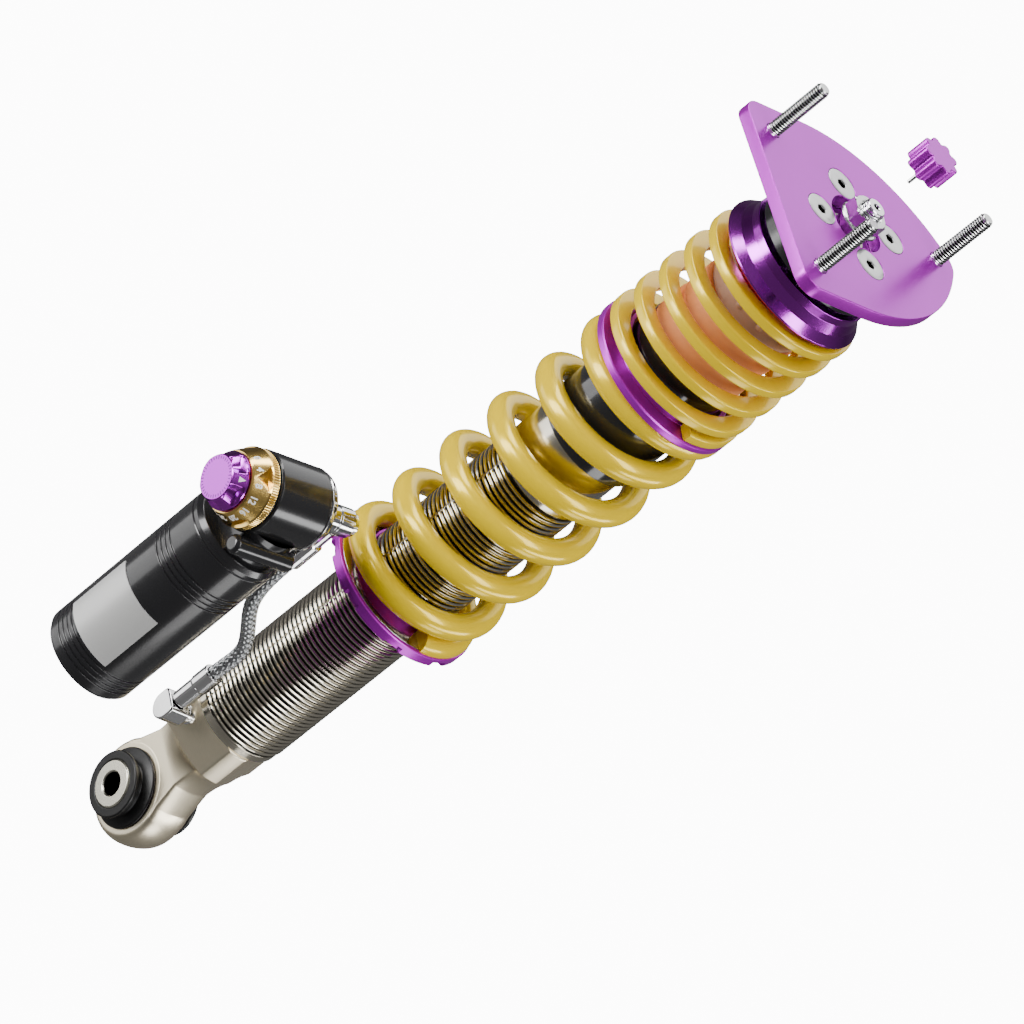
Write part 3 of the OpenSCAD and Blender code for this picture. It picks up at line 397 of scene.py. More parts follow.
ZINC = finish("ZincSteel", (0.66, 0.67, 0.66), 0.22, 1.0, variation=0.10, bump=0.05)
shank_profile = [(0.01, 514), (6.9, 514), (7, 514.2), (7, 516.4), (4.2, 516.5), (4.2, 523.7), (STUD_R, 523.9),
                 (STUD_R, 524.5), (3.45, 525)]
tip_profile = rounded([(3.4, 557.4), (3.4, 558), (2.9, 558.6), (0.01, 558.6)], 0.3)
for k, deg in enumerate(STUD_ANGLES):
    spot = (STUD_CIRCLE * math.cos(math.radians(deg)), STUD_CIRCLE * math.sin(math.radians(deg)), 0)
    shank = turned("StudShank", shank_profile, centre=spot, n=40)
    thread = threaded("StudThread", STUD_R, STUD_DEPTH, STUD_PITCH, 524.8, 557.9, spot, crest=0.15, root=0.2)
    tip = turned("StudTip%d" % (k + 1), tip_profile, centre=spot, n=40)
    done(tip, ZINC, "plate", "zinc")
    stud = join("MountingStud%d" % (k + 1), [shank, thread])
    recess_shaded = finish("StudThread%d" % (k + 1), (0.80, 0.80, 0.80), 0.16, 1.0, variation=0.06, bump=0.02)
    # Painted shade in the thread's roots.
    paint_recess_shade(recess_shaded, [x * MM for x in spot], (1, 1, 0), 0.0035, 0.0038, 0.01)
    done(stud, recess_shaded, "plate", "zinc", *(["mounting_studs"] if k == 0 else []))

# ---------------------------------------------------------------- rod nut and rod
# Zinc-plated flanged lock nut, a hexagon whose corners are cut by a cone, on the threaded end of the
# hard-chromed piston rod. The rod is ground smooth, stepped for the mount and drilled for the knob's pin.
NUT_FLATS, NUT_TURN, NUT_POINTS = 19.0, 0.35, 144
CHROME = finish("HardChrome", (0.86, 0.87, 0.88), 0.08, 1.0, variation=0.02, bump=0.0)
sides = hexagon(angles(NUT_POINTS)[None, :], NUT_FLATS, NUT_TURN)
rows = [(6.1, 524.5), (11.0, 524.5), (11.4, 524.8), (11.4, 525.6), (10.9, 526.1)]
rows += [(np.minimum(sides, cone), z) for z, cone in ((526.4, 12), (532.3, 12), (532.9, 11.1), (533.5, 9.7))]
rows += [(7.6, 533.5), (6.9, 533.2), (6.05, 532.7), (6.05, 524.5)]
nut = ringed("RodNut", rows, NUT_POINTS, angle=25)
done(nut, ZINC, "rod", "zinc", "rod_nut")
rod_profile = [(0.01, 283), (4.5, 283), (5, 283.5), (5, 302), (8, 302), (8, 482), (6, 482), (6, 533)]
rod_body = turned("RodBody", rounded(rod_profile, 0.4), n=96)
rod_thread = threaded("RodThread", 6.0, 0.6, 1.25, 532.6, 537.0, n=64)
rod_tip = turned("RodTip", rounded([(5.4, 536.6), (5.4, 537.2), (4.9, 537.6), (2.2, 537.6), (1.6, 537.2),
                                    (1.6, 517.6), (0.01, 517.2)], 0.2), n=64)
rod = join("PistonRod", [rod_body, rod_thread, rod_tip])
done(rod, CHROME, "rod", "hard_chrome", "piston_rod")

# ---------------------------------------------------------------- main spring
# Coil of 14 mm round steel wire, powder coated yellow, standing on the perch. Its first and last turns
# close to the flat and are ground where they touch.
SPRING_FOOT, SPRING_LENGTH, SPRING_SHORT = 203.3, 186.7, 152.7
SPRING_PITCH, SPRING_R, WIRE_R, GROUND = 34.8, 38.0, 7, 1.1
YELLOW = finish("YellowPaint", (0.80, 0.56, 0.0), 0.25, 0.2, coat=0.45, variation=0.04, scale=1500, bump=0.01,
                spec=0.2)


def spring_line(n, pitch, r, z0, start, lead=0.0):
    """Right-hand coil of n turns: flat for the lead d, then rise p (t - d)^2 / 2 in the first turn, p (t - d -
    1/2) after it, mirrored at the top. Returns the centres and each one's outward and upward axes, square
    to the wire."""
    per_turn = 96
    t = np.linspace(0, n, int(n * per_turn) + 1)
    low_t, top_t = np.clip(t - lead, 0, None), np.clip(n - lead - t, 0, None)
    rise = np.where(low_t < 1, pitch * low_t ** 2 / 2, pitch * (low_t - 0.5))
    rise = np.where(top_t < 1, pitch * (n - 1 - 2 * lead) - pitch * top_t ** 2 / 2, rise)
    a = np.radians(start) + 2 * np.pi * t
    line = np.stack([r * np.cos(a), r * np.sin(a), z0 + rise], -1)
    slope = np.gradient(rise, t) / (2 * np.pi * r)
    out = np.stack([np.cos(a), np.sin(a), 0 * a], -1)
    up = np.stack([np.sin(a) * slope, -np.cos(a) * slope, 0 * a + 1], -1)
    up /= np.linalg.norm(up, axis=1)[:, None]
    return line * MM, np.stack([out, up], 1)


def swept(name, line, section, ups):
    """Tube along line (N, 3): section points (out, up) are laid on each point's two axes in ups, (N, 2, 3).
    Metres."""
    grid = line[:, None, :] + section[..., 0:1] * ups[:, None, 0] + section[..., 1:2] * ups[:, None, 1]
    return surface(name, grid, cap_start=True, cap_end=True, angle=40)


turns = (SPRING_LENGTH - 2 * GROUND) / SPRING_PITCH + 1.1
line, ups = spring_line(turns, SPRING_PITCH, SPRING_R, SPRING_FOOT + GROUND, 83, 0.05)
a = angles(28)
section = np.repeat(np.stack([WIRE_R * np.cos(a), WIRE_R * np.sin(a)], -1)[None] * MM, len(line), 0)
for end, sign in ((0, 1), (-1, -1)):
    for step, share in ((0, 0.93), (1, 0.985)):
        section[end + sign * step] *= share
coil = swept("MainSpring", line, section, ups)
points = np.zeros(len(coil.data.vertices) * 3)
coil.data.vertices.foreach_get("co", points)
face_gap = 0.02
face_low, face_top = SPRING_FOOT + face_gap, SPRING_FOOT + SPRING_LENGTH - face_gap
points[2::3] = np.clip(points[2::3], face_low * MM, face_top * MM)
coil.data.vertices.foreach_set("co", points)
coil.data.set_sharp_from_angle(angle=math.radians(40))
done(coil, YELLOW, "seat", "yellow_paint", "main_spring")
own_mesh(coil)

# ---------------------------------------------------------------- helper spring
# Flat steel wire wound on edge and powder coated yellow: a rounded rectangle, 9.8 by 5.6 mm, along a coil
# of the same law. It stands on the coupler ring and keeps the main spring seated at full droop.
HELPER_FOOT, HELPER_TOP, HELPER_SHORT = 394.4, 479.6, 34.2
HELPER_PITCH, HELPER_R, HELPER_GAP = 17.4, 40.1, 0.35
STRIP_WIDE, STRIP_HIGH, STRIP_CORNER = 9.8, 5.6, 1.1
helper_length = HELPER_TOP - HELPER_FOOT
turns = (helper_length - STRIP_HIGH - 2 * HELPER_GAP) / HELPER_PITCH + 1
line, ups = spring_line(turns, HELPER_PITCH, HELPER_R, HELPER_FOOT + HELPER_GAP + STRIP_HIGH / 2, 81)
rim = []
for quarter, (side, top) in enumerate(((1, -1), (1, 1), (-1, 1), (-1, -1))):
    a = np.linspace(-np.pi / 2, 0, 5) + quarter * np.pi / 2
    across = side * (STRIP_WIDE / 2 - STRIP_CORNER) + STRIP_CORNER * np.cos(a)
    height = top * (STRIP_HIGH / 2 - STRIP_CORNER) + STRIP_CORNER * np.sin(a)
    rim.append(np.stack([across, height], -1))
section = np.repeat(np.concatenate(rim)[None] * MM, len(line), 0)
helper = swept("HelperSpring", line, section, ups)
done(helper, YELLOW, "coupler", "yellow_paint", "helper_spring")
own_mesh(helper)

# ---------------------------------------------------------------- spring perch
# Threaded adjusting ring, anodised violet: a flange with nine spanner notches in its lower edge, a sleeve
# that guides the spring, and a thin steel washer let into its face.
NOTCH_TOP, NOTCH_FLOOR, NOTCH_HALF, NOTCH_STEP = 200.6, 42.8, 6.4, 40
STEEL = finish("BrightSteel", (0.80, 0.80, 0.80), 0.10, 1.0, variation=0.04, bump=0.02)


def notches(r, z, a):
    """Pulls the rim in by 3 mm over 13 degrees at each of nine notches, below their top, with soft sides."""
    away = np.abs((np.degrees(a) - 25 + NOTCH_STEP / 2) % NOTCH_STEP - NOTCH_STEP / 2)
    cut = np.clip((NOTCH_HALF - away) / 0.8, 0, 1) * np.clip((NOTCH_TOP - z) / 0.5, 0, 1)
    return np.where(r > 43, np.minimum(r, r * (1 - cut) + NOTCH_FLOOR * cut), r)


profile = rounded([(27.9, 190.8), (31.7, 190.8), (32.7, 191.8), (32.7, 196.8), (45.0, 196.8), (45.8, 197.6),
                   (45.8, 200.1, 0), (45.8, NOTCH_TOP, 0), (45.8, 202.8), (45.3, SPRING_FOOT),
                   (43.1, SPRING_FOOT), (43.1, 202.5), (29.7, 202.5), (29.7, 208.9), (28.9, 209.9),
                   (27.9, 209.9), (27.9, 190.8)], 0.3)
perch = turned("SpringPerch", profile, n=720, shape=notches)
done(perch, VIOLET, "perch", "violet", "spring_perch")
profile = [(29.8, 202.5), (43.0, 202.5), (43.0, SPRING_FOOT), (29.8, SPRING_FOOT), (29.8, 202.5)]
washer = turned("SpringWasher", rounded(profile, 0.2), n=128)
done(washer, STEEL, "seat", "steel", "spring_washer")

# ---------------------------------------------------------------- coupler
# Turned aluminium ring between the two springs: a thin violet flange with a guide tube that stands inside
# the helper spring. Nothing fixes it; the springs hold it.
profile = [(31.2, 390), (44.2, 390), (45, 390.8), (45, 393.6), (44.2, HELPER_FOOT), (34.2, HELPER_FOOT),
           (34.2, 400.4), (33.2, 401.4), (31.2, 401.4), (31.2, 390)]
coupler = turned("CouplerRing", rounded(profile, 0.4), n=160)
done(coupler, VIOLET, "coupler", "violet", "coupler_ring")

# ---------------------------------------------------------------- upper spring plate and ball housing
# Turned violet cup whose chamfered rim holds the helper spring, with a taper above it, and over it the
# black anodised housing that the four screws hold to the plate.
VIOLET_DARK = finish("VioletDarkAnodised", (0.52, 0.05, 0.66), 0.18, 1.0, variation=0.06, bump=0.04)
BLACK = finish("BlackAnodised", (0.010, 0.010, 0.011), 0.22, 0.0, coat=0.25, variation=0.15, bump=0.04)
profile = [(31.2, 473.6), (33.8, 473.6), (33.8, HELPER_TOP), (42.9, HELPER_TOP), (43.4, 480.4), (43.4, 481.2),
           (39.6, 485.4), (37.3, 490.5), (37.1, 495), (33.2, 495), (30.2, 489), (6.1, 489), (6.1, 482),
           (10, 482), (10, HELPER_TOP), (31.2, HELPER_TOP), (31.2, 473.6)]
retainer = turned("UpperRetainer", rounded(profile, 0.4), n=192)
done(retainer, VIOLET_DARK, "rod", "dark_violet", "upper_retainer")
profile = [(14, 497.5), (35.7, 497.5), (36.2, 498), (36.2, 516), (35.7, PLATE_LOW), (17.1, PLATE_LOW),
           (17.1, 503.5), (14, 503.5), (14, 497.5)]
housing = turned("UniballHousing", rounded(profile, 0.4), n=160)
done(housing, BLACK, "plate", "black_anodised", "uniball_housing")

# ---------------------------------------------------------------- dust tube and bump stop
# Glossy black plastic sleeve over the rod, and a salmon polyurethane bump stop with one groove, pushed into a
# holder with small grip nubs. The holder's brown is painted shade: the same salmon foam, darkened where it
# sits under the retainer.
GLOSS = finish("BlackGloss", (0.010, 0.010, 0.011), 0.16, coat=0.6, variation=0.2, bump=0.02)
SALMON = finish("SalmonFoam", (0.72, 0.26, 0.08), 0.60, variation=0.10, bump=0.10)
# Painted shade: the salmon foam darkened to brown for the holder under the retainer.
SHADED_FOAM = finish("FoamPaintedShade", (0.37, 0.20, 0.13), 0.55, variation=0.12, bump=0.10)
DUST_IN, DUST_OUT, DUST_LOW, DUST_TOP, STOP_TOP = 28.2, 29.6, 338, 414, 453
NUB_R, NUB_Z, NUB_CIRCLE, NUB_COUNT = 2.2, 462, 28, 12
profile = [(DUST_IN, DUST_LOW), (DUST_OUT, DUST_LOW), (DUST_OUT, DUST_TOP), (DUST_IN, DUST_TOP),
           (DUST_IN, DUST_LOW)]
dust = turned("DustTube", rounded(profile, 0.3), n=128)
done(dust, GLOSS, "dust", "dust_plastic", "dust_tube")
profile = [(8.4, 410), (25.4, 410), (27.9, 411), (27.9, 414), (28.8, 414.4), (29.4, 416), (29.4, 430.6),
           (28.2, 432.5), (26.6, 433.5, 0.8), (28.2, 434.6), (29.4, 436.4), (29.4, 451.8), (28.4, STOP_TOP),
           (8.4, STOP_TOP), (8.4, 410)]
bump = turned("BumpStop", rounded(profile, 0.8), n=128)
done(bump, SALMON, "rod", "foam", "bump_stop")
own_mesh(bump)
profile = [(8.1, STOP_TOP), (26.9, STOP_TOP), (28.6, 455.5), (28.6, 478.6), (27.6, HELPER_TOP),
           (8.1, HELPER_TOP), (8.1, STOP_TOP)]
holder = turned("BumpHolder", rounded(profile, 0.6), n=128)
nub = []
fall = np.linspace(0.02, math.pi - 0.02, 13)
for ang in np.arange(NUB_COUNT) * 2 * math.pi / NUB_COUNT:
    spot = (NUB_CIRCLE * math.cos(ang), NUB_CIRCLE * math.sin(ang), NUB_Z)
    nub.append(turned("Nub", np.stack([NUB_R * np.sin(fall), -NUB_R * np.cos(fall)], -1), centre=spot, n=20))
holder = join("BumpHolderBody", [holder] + nub)
done(holder, SHADED_FOAM, "rod", "foam_brown", "bump_stop_holder")

# ---------------------------------------------------------------- damper body
# Nickel-coloured aluminium tube with a deep right-hand thread of 3.175 mm pitch for the perch; smooth above
# and below the thread. The roots carry painted shade: the colour falls towards black within 27.3 mm of the
# axis.
BODY_PITCH, BODY_R, BODY_DEPTH = 3.175, 27.75, 1.25
lower_tube = turned("BodyFoot", rounded([(23, 75), (27.15, 75), (27.15, 79.6), (26.6, 80.2)], 0.3), n=160)
thread = threaded("BodyThread", BODY_R, BODY_DEPTH, BODY_PITCH, 79.8, 303.5, n=112, crest=0.20, root=0.24)
profile = [(26.4, 303), (27.15, 304.4), (27.15, 344), (25.2, 346), (23, 346), (23, 75)]
upper_tube = turned("BodyHead", rounded(profile, 0.3), n=160)
tube = join("DamperBody", [lower_tube, thread, upper_tube])
recess_shaded = finish("ThreadedTube", (0.72, 0.67, 0.55), 0.16, 1.0, variation=0.05, bump=0.02)
# Painted shade in the thread's roots.
paint_recess_shade(recess_shaded, (0, 0, 0), (1, 1, 0), 0.0265, 0.0273, 0.02)
done(tube, recess_shaded, "lower_strut", "nickel", "damper_body")

# ---------------------------------------------------------------- lower eye
# Forged and machined aluminium eye in a champagne finish: a round-shouldered eye, a neck that flows out
# of it, and a collar with four wrench flats. The body screws into the collar.
CHAMPAGNE = finish("ChampagneMetal", (0.84, 0.75, 0.56), 0.32, 1.0, variation=0.06, bump=0.04)
EYE_HALF, EYE_EDGE, EYE_BULGE, EYE_BORE = 12, 24.4, 4.6, 20.5
NECK_HALF, NECK_TOP, COLLAR_LOW, COLLAR_R = 11.95, 31, 51.5, 28.2
FLAT_FROM, FLAT_IN, FLAT_TURN = 40, 23.5, 27


def collar_shape(r, z, a):
    """Neck and collar: up to the neck's top the section has two flat sides, 24 mm apart, and between them two
    half ellipses that reach out to the eye's circle sqrt(28.9^2 - z^2), or to 26 - 0.3 (z - 10) above it,
    and are 4.6 - 0.06 z deep. From there to the collar's foot it grows to the collar's circle by 1 - sqrt(1
    - u^2), a quarter of an ellipse. From z = 40 up, the radius stops at the four flats, 47 mm apart."""
    low = np.minimum(z, NECK_TOP) + 0 * a
    wide = np.maximum(np.sqrt(np.clip(28.9 ** 2 - low ** 2, 16, None)), 26 - 0.3 * (low - 10))
    deep = EYE_BULGE - 0.06 * low
    c, s = np.maximum(np.abs(np.cos(a)), 1e-4), np.abs(np.sin(a))
    p = (s / deep) ** 2 + (c / EYE_HALF) ** 2
    q = s * (wide - deep) / deep ** 2
    inside = q * q - p * (((wide - deep) / deep) ** 2 - 1)
    round_side = np.where(inside > 0, (q + np.sqrt(np.maximum(inside, 0))) / p, 1e3)
    box = np.minimum(NECK_HALF / c, round_side)
    u = np.clip((z - NECK_TOP) / (COLLAR_LOW - NECK_TOP), 0, 1)
    r = np.where(z < COLLAR_LOW, box + (COLLAR_R - box) * (1 - np.sqrt(1 - u * u)), r)
    turn = (a - math.radians(FLAT_TURN) + math.pi / 4) % (math.pi / 2) - math.pi / 4
    return np.where(z > FLAT_FROM, np.minimum(r, FLAT_IN / np.cos(turn)), r)


path = rounded([(COLLAR_R, 9), (COLLAR_R, NECK_TOP), (COLLAR_R, COLLAR_LOW), (28.5, 52.4), (28.5, 74.2),
                (27.9, 75), (25.1, 75)], 0.6, 5)
dense = [path[0]]
for p, q in zip(path[:-1], path[1:]):
    step = 0.8 if p[1] < 48 else 0.25
    m = max(1, int(np.hypot(*(q - p)) / step)) if p[1] < COLLAR_LOW + 0.1 else 1
    dense += [p + (q - p) * t for t in np.linspace(0, 1, m + 1)[1:]]
neck = turned("EyeNeck", dense, n=360, shape=collar_shape, angle=28)
bulge = [(EYE_EDGE + EYE_BULGE * math.sqrt(max(0, 1 - (x / EYE_HALF) ** 2)), x)
         for x in EYE_HALF * np.sin(np.radians(np.linspace(-90, 90, 29)))]
profile = [(EYE_BORE, -EYE_HALF), (24.0, -EYE_HALF)] + bulge
profile += [(24.0, EYE_HALF), (EYE_BORE, EYE_HALF), (EYE_BORE, -EYE_HALF)]
eye = turned("EyeRing", profile, axis="X", n=192)
eye = join("LowerEye", [neck, eye])
done(eye, CHAMPAGNE, "lower_strut", "champagne", "lower_eye")

# ---------------------------------------------------------------- bush
# Black rubber bonded in the eye, with a rim against each face and a lip at each end, and a bright steel sleeve
# through it for the bolt. The sleeve's bore carries painted shade: its colour falls to near black within 6.9
# mm of the axis.
RUBBER = finish("BlackRubber", (0.004, 0.004, 0.004), 0.36, variation=0.3, bump=0.10, spec=0.35)
half = [(13.0, 22.9), (17.6, 22.9), (18.2, 22.2), (18.0, 20.6), (15.6, 18.4), (15.6, 16.0), (21.4, 14.0),
        (21.9, 13.4), (21.9, 12.3), (EYE_BORE, EYE_HALF)]
profile = [(r, -z) for r, z in half] + half[::-1]
bush = turned("BushRubber", rounded(profile + [profile[0]], 0.7), axis="X", n=128)
done(bush, RUBBER, "lower_strut", "rubber", "bush_rubber")
half = [(6.15, 22.6), (7.2, 23.5), (12.2, 23.5), (12.9, 22.8)]
profile = [(r, -z) for r, z in half] + half[::-1] + [(6.15, -22.6)]
sleeve = turned("BushSleeve", rounded(profile, 0.3), axis="X", n=96)
recess_shaded = finish("SleeveSteel", (0.86, 0.83, 0.70), 0.25, 1.0, variation=0.05, bump=0.03)
# Painted shade in the sleeve's bore.
paint_recess_shade(recess_shaded, (0, 0, 0), (0, 1, 1), 0.0062, 0.0069, 0.01)
done(sleeve, recess_shaded, "bush", "steel", "bush_sleeve")

# ---------------------------------------------------------------- reservoir
# Black anodised aluminium tube with two groups of four grooves, and a valve head that lies across its
# top: a barrel along X on a flat-sided neck, a cap that screws into the tube, and a boss beside the
# barrel.
RES_X, RES_Y, HEAD_Z, RES_R = 108.0, -4.0, 224.7, 27.4
UPRIGHT = {"centre": (RES_X, RES_Y, 0)}
ALONG = {"axis": "X", "centre": (0, RES_Y, HEAD_Z)}
GROOVE_DEPTH, GROOVE_STEP = 0.8, 3.3
points = [(24.4, 81.6), (26.2, 81.6), (RES_R, 82.8)]
for z0 in (88.3, 163.4):
    for k in range(4):
        z, floor_r = z0 + GROOVE_STEP * k, RES_R - GROOVE_DEPTH
        points += [(RES_R, z - 0.75), (floor_r, z - 0.35), (floor_r, z + 0.35), (RES_R, z + 0.75)]
points += [(RES_R, 190.8), (27.0, 191.4), (24.4, 191.4), (24.4, 81.6)]
reservoir = turned("ReservoirTube", rounded(points, 0.25, 3), n=192, **UPRIGHT)
done(reservoir, BLACK, "lower_strut", "black_anodised", "reservoir_tube")
profile = [(0.02, 183.4), (24.3, 183.4), (24.3, 191.5), (27.3, 191.5), (27.3, 194.3), (25.6, 197.3),
           (23.1, 197.3), (0.02, 197.3)]
cap = turned("HeadCap", rounded(profile, 0.5), n=160, **UPRIGHT)
profile = [(0.02, 91.4), (20.4, 91.4), (21.4, 92.4), (21.4, 125.1), (20.6, 126), (0.02, 126)]
barrel = turned("HeadBarrel", rounded(profile, 0.4), n=160, **ALONG)


def trimmed(r, z, a):
    """The neck: a circle of radius 23.3 cut flat 16.8 mm from its centre towards each end of the barrel."""
    return np.minimum(r, 16.8 / np.maximum(np.abs(np.cos(a)), 1e-6))


neck = turned("HeadNeck", [(23.3, 196.5), (23.3, 216)], n=240, shape=trimmed, **UPRIGHT)
profile = [(0.02, 91.9), (3.9, 91.9), (5.15, 93.1), (5.15, 129.6), (3.6, 131.4), (0.02, 131.4)]
boss = turned("HeadBoss", rounded(profile, 1.5), axis="X", centre=(0, RES_Y + 22, 206.9), n=64)
head = join("ReservoirHead", [cap, barrel, neck, boss])
done(head, BLACK, "lower_strut", "black_anodised", "reservoir_head")

# ---------------------------------------------------------------- end ring
# Bright steel ring pressed on the barrel's inner end, with eighteen short marks engraved across its
# bevel.
RING_MARKS, MARK_DEPTH = 18, 0.25


def ring_marks(r, z, a):
    """Short marks, even round the turn and 2 degrees wide, cut into the bevel between x = 88.2 and x =
    90.2."""
    step = 360 / RING_MARKS
    away = np.abs((np.degrees(a) + step / 2) % step - step / 2)
    return r - MARK_DEPTH * (away < 1.0) * (z > 88.2) * (z < 90.2)


profile = rounded([(7.8, 87.0), (19.9, 87.0), (20.4, 87.6), (20.8, 88.3), (21.2, 90.0), (21.5, 90.9),
                   (21.1, 91.4), (7.8, 91.4), (7.8, 87.0)], 0.2)
end_ring = turned("HeadEndRing", profile, n=540, shape=ring_marks, **ALONG)
done(end_ring, STEEL, "lower_strut", "steel", "head_end_ring")

# ---------------------------------------------------------------- gold dial
# Anodised gold aluminium dial: a finely knurled rim, a tapered face with four V scallops, and printed
# white numbers. It turns on the head against a black rubber seat.
GOLD = finish("GoldAnodised", (0.86, 0.58, 0.17), 0.20, 1.0, variation=0.06, bump=0.03)
WHITE = finish("WhitePaint", (0.85, 0.84, 0.80), 0.5, variation=0.04)
GOLD_TURN, GOLD_RIM, GOLD_FACE = 66.0, 20.3, 16.5
TAPER_LOW, TAPER_TOP, SCALLOP_TOP = 132.3, 141.2, 139.6
KNURLS, KNURL_DEPTH, SCALLOP_HALF, SCALLOP_DEPTH = 96, 0.32, 20.5, 3.1
NUMBER_SIZE, NUMBER_X = 4.6, 138.4
NUMBERS = (("0", 102), ("4", 79), ("8", 51), ("12", 27), ("16", 3), ("20", -23), ("24", -48), ("28", -73),
           ("32", -98))


def gold_shape(r, z, a):
    """Knurl of 0.32 mm on the rim. Four V scallops on the taper: each is 20.5 degrees to a side at the rim and
    narrows to nothing at its top, with a round floor 3.1 mm deep at the rim."""
    knurl = KNURL_DEPTH * (0.5 - 0.5 * np.cos(KNURLS * a)) * ((z > 127.8) & (z < 131.7))
    away = np.abs((np.degrees(a) - GOLD_TURN + 45) % 90 - 45)
    run = np.clip((SCALLOP_TOP - z) / 7.4, 0, 1)
    hollow = np.clip(1 - (away / (SCALLOP_HALF * run + 0.01)) ** 2, 0, 1) * run * (z > 131.9)
    return r - knurl - SCALLOP_DEPTH * hollow


def gold_cone(z):
    """Radius of the gold dial's taper at x = z."""
    return GOLD_RIM + (GOLD_FACE - GOLD_RIM) * (z - TAPER_LOW) / (TAPER_TOP - TAPER_LOW)


def on_cone(name, words, size, angle, z_mid, r_at, cap=0.10):
    """Plain numbers laid on a cone about X: text across becomes the angle, -x / r, and text up runs to the
    rim."""
    curve = bpy.data.curves.new(name, "FONT")
    curve.body = words
    curve.size = size * MM
    curve.align_x = "CENTER"
    curve.align_y = "CENTER"
    curve.extrude = cap * MM
    curve.offset = 0.03 * size * MM
    temporary = bpy.data.objects.new(name, curve)
    bpy.context.scene.collection.objects.link(temporary)
    mesh = bpy.data.meshes.new_from_object(temporary.evaluated_get(bpy.context.evaluated_depsgraph_get()))
    bpy.data.objects.remove(temporary)
    co = np.zeros(len(mesh.vertices) * 3)
    mesh.vertices.foreach_get("co", co)
    co = co.reshape(-1, 3) / MM
    z = z_mid - co[:, 1]
    a = math.radians(angle) - co[:, 0] / r_at(z_mid)
    mesh.vertices.foreach_set("co", place(r_at(z) + co[:, 2], a, z, **ALONG).ravel())
    mesh.update()
    obj = bpy.data.objects.new(name, mesh)
    bpy.context.scene.collection.objects.link(obj)
    return obj


profile = [(5.1, 127.2), (GOLD_RIM, 127.2), (20.8, 127.7)]
profile += [(20.8, z) for z in np.linspace(127.85, 131.6, 6)]
profile += [(20.8, 131.8), (GOLD_RIM, TAPER_LOW)]
profile += [(gold_cone(z), z) for z in TAPER_LOW + (TAPER_TOP - TAPER_LOW) * np.linspace(0.04, 1, 24)]
profile += [(15.9, 142.0), (15.1, 142.0), (5.1, 142.0), (5.1, 127.2)]
gold = turned("GoldDial", profile, n=480, shape=gold_shape, angle=24, **ALONG)
done(gold, GOLD, "gold", "gold", "gold_dial")
numbers = [on_cone("Number", words, NUMBER_SIZE, angle, NUMBER_X, gold_cone) for words, angle in NUMBERS]
done(join("GoldDialNumbers", numbers), WHITE, "gold")
profile = [(5.05, 126.0), (19.8, 126.0), (20.0, 126.3), (20.0, 127.1), (5.05, 127.14), (5.05, 126.0)]
seat = turned("DialSeat", rounded(profile, 0.15), n=128, **ALONG)
done(seat, RUBBER, "lower_strut", "rubber", "dial_seat")

# ---------------------------------------------------------------- purple dial
# Smaller anodised dial in front of the gold one, with five finger scallops, a ring of engraved marks on
# its face and a painted white pointer on its cone.
PURPLE_TURN, PURPLE_LOW, PURPLE_TOP = 18.0, 143.6, 150.2
PURPLE_RIM, PURPLE_FACE, FACE_X, MARK_RING = 15.3, 12.2, 151.1, 9.9
FINGER_HALF, FINGER_DEPTH = 23.0, 3.2


def purple_shape(r, z, a):
    """Five hollows round the cone between the skirt and the face, deepest in the middle."""
    away = np.abs((np.degrees(a) - PURPLE_TURN + 36) % 72 - 36)
    along = np.clip((z - 143.9) / 1.0, 0, 1) * np.clip((151.0 - z) / 2.0, 0, 1)
    return r - FINGER_DEPTH * np.clip(1 - (away / FINGER_HALF) ** 2, 0, 1) * along


profile = [(5.1, 142.4), (14.9, 142.4), (PURPLE_RIM, 142.8), (PURPLE_RIM, PURPLE_LOW)]
profile += [(PURPLE_RIM + (PURPLE_FACE - PURPLE_RIM) * t, PURPLE_LOW + (PURPLE_TOP - PURPLE_LOW) * t)
            for t in np.linspace(0.06, 1, 16)]
profile += [(11.9, 150.8), (11.3, FACE_X), (0.02, FACE_X)]
purple = turned("PurpleDial", profile, n=320, shape=purple_shape, angle=24, **ALONG)
done(purple, VIOLET_DARK, "purple", "dark_violet", "purple_dial")
pointer_r = np.array([[14.9, 13.3], [14.9, 13.3], [14.55, 12.95], [14.55, 12.95]]) + 0.12
pointer_a = math.radians(54) + np.array([[0.0, -0.11], [0.0, 0.11], [0.0, 0.11], [0.0, -0.11]])
pointer = surface("PurplePointer", place(pointer_r, pointer_a, np.array([[144.6, 147.8]] * 4), **ALONG),
                  close_rows=True, close_cols=False)
done(pointer, WHITE, "purple")
marks = []
for k in range(36):
    size = 0.7 if k % 3 else 1.0
    radii = MARK_RING + size * np.array([-1, 1, 1, -1])[None, :]
    turn = (math.radians(10 * k) + np.array([-1, -1, 1, 1]) * 0.028)[None, :]
    depth = np.array([[FACE_X - 0.1], [FACE_X + 0.06]])
    marks.append(surface("Mark", place(radii, turn, depth, **ALONG), cap_start=True, cap_end=True))
engraved = finish("EngravedViolet", (0.20, 0.02, 0.30), 0.5, 0.5, variation=0.05)
done(join("PurpleDialMarks", marks), engraved, "purple")

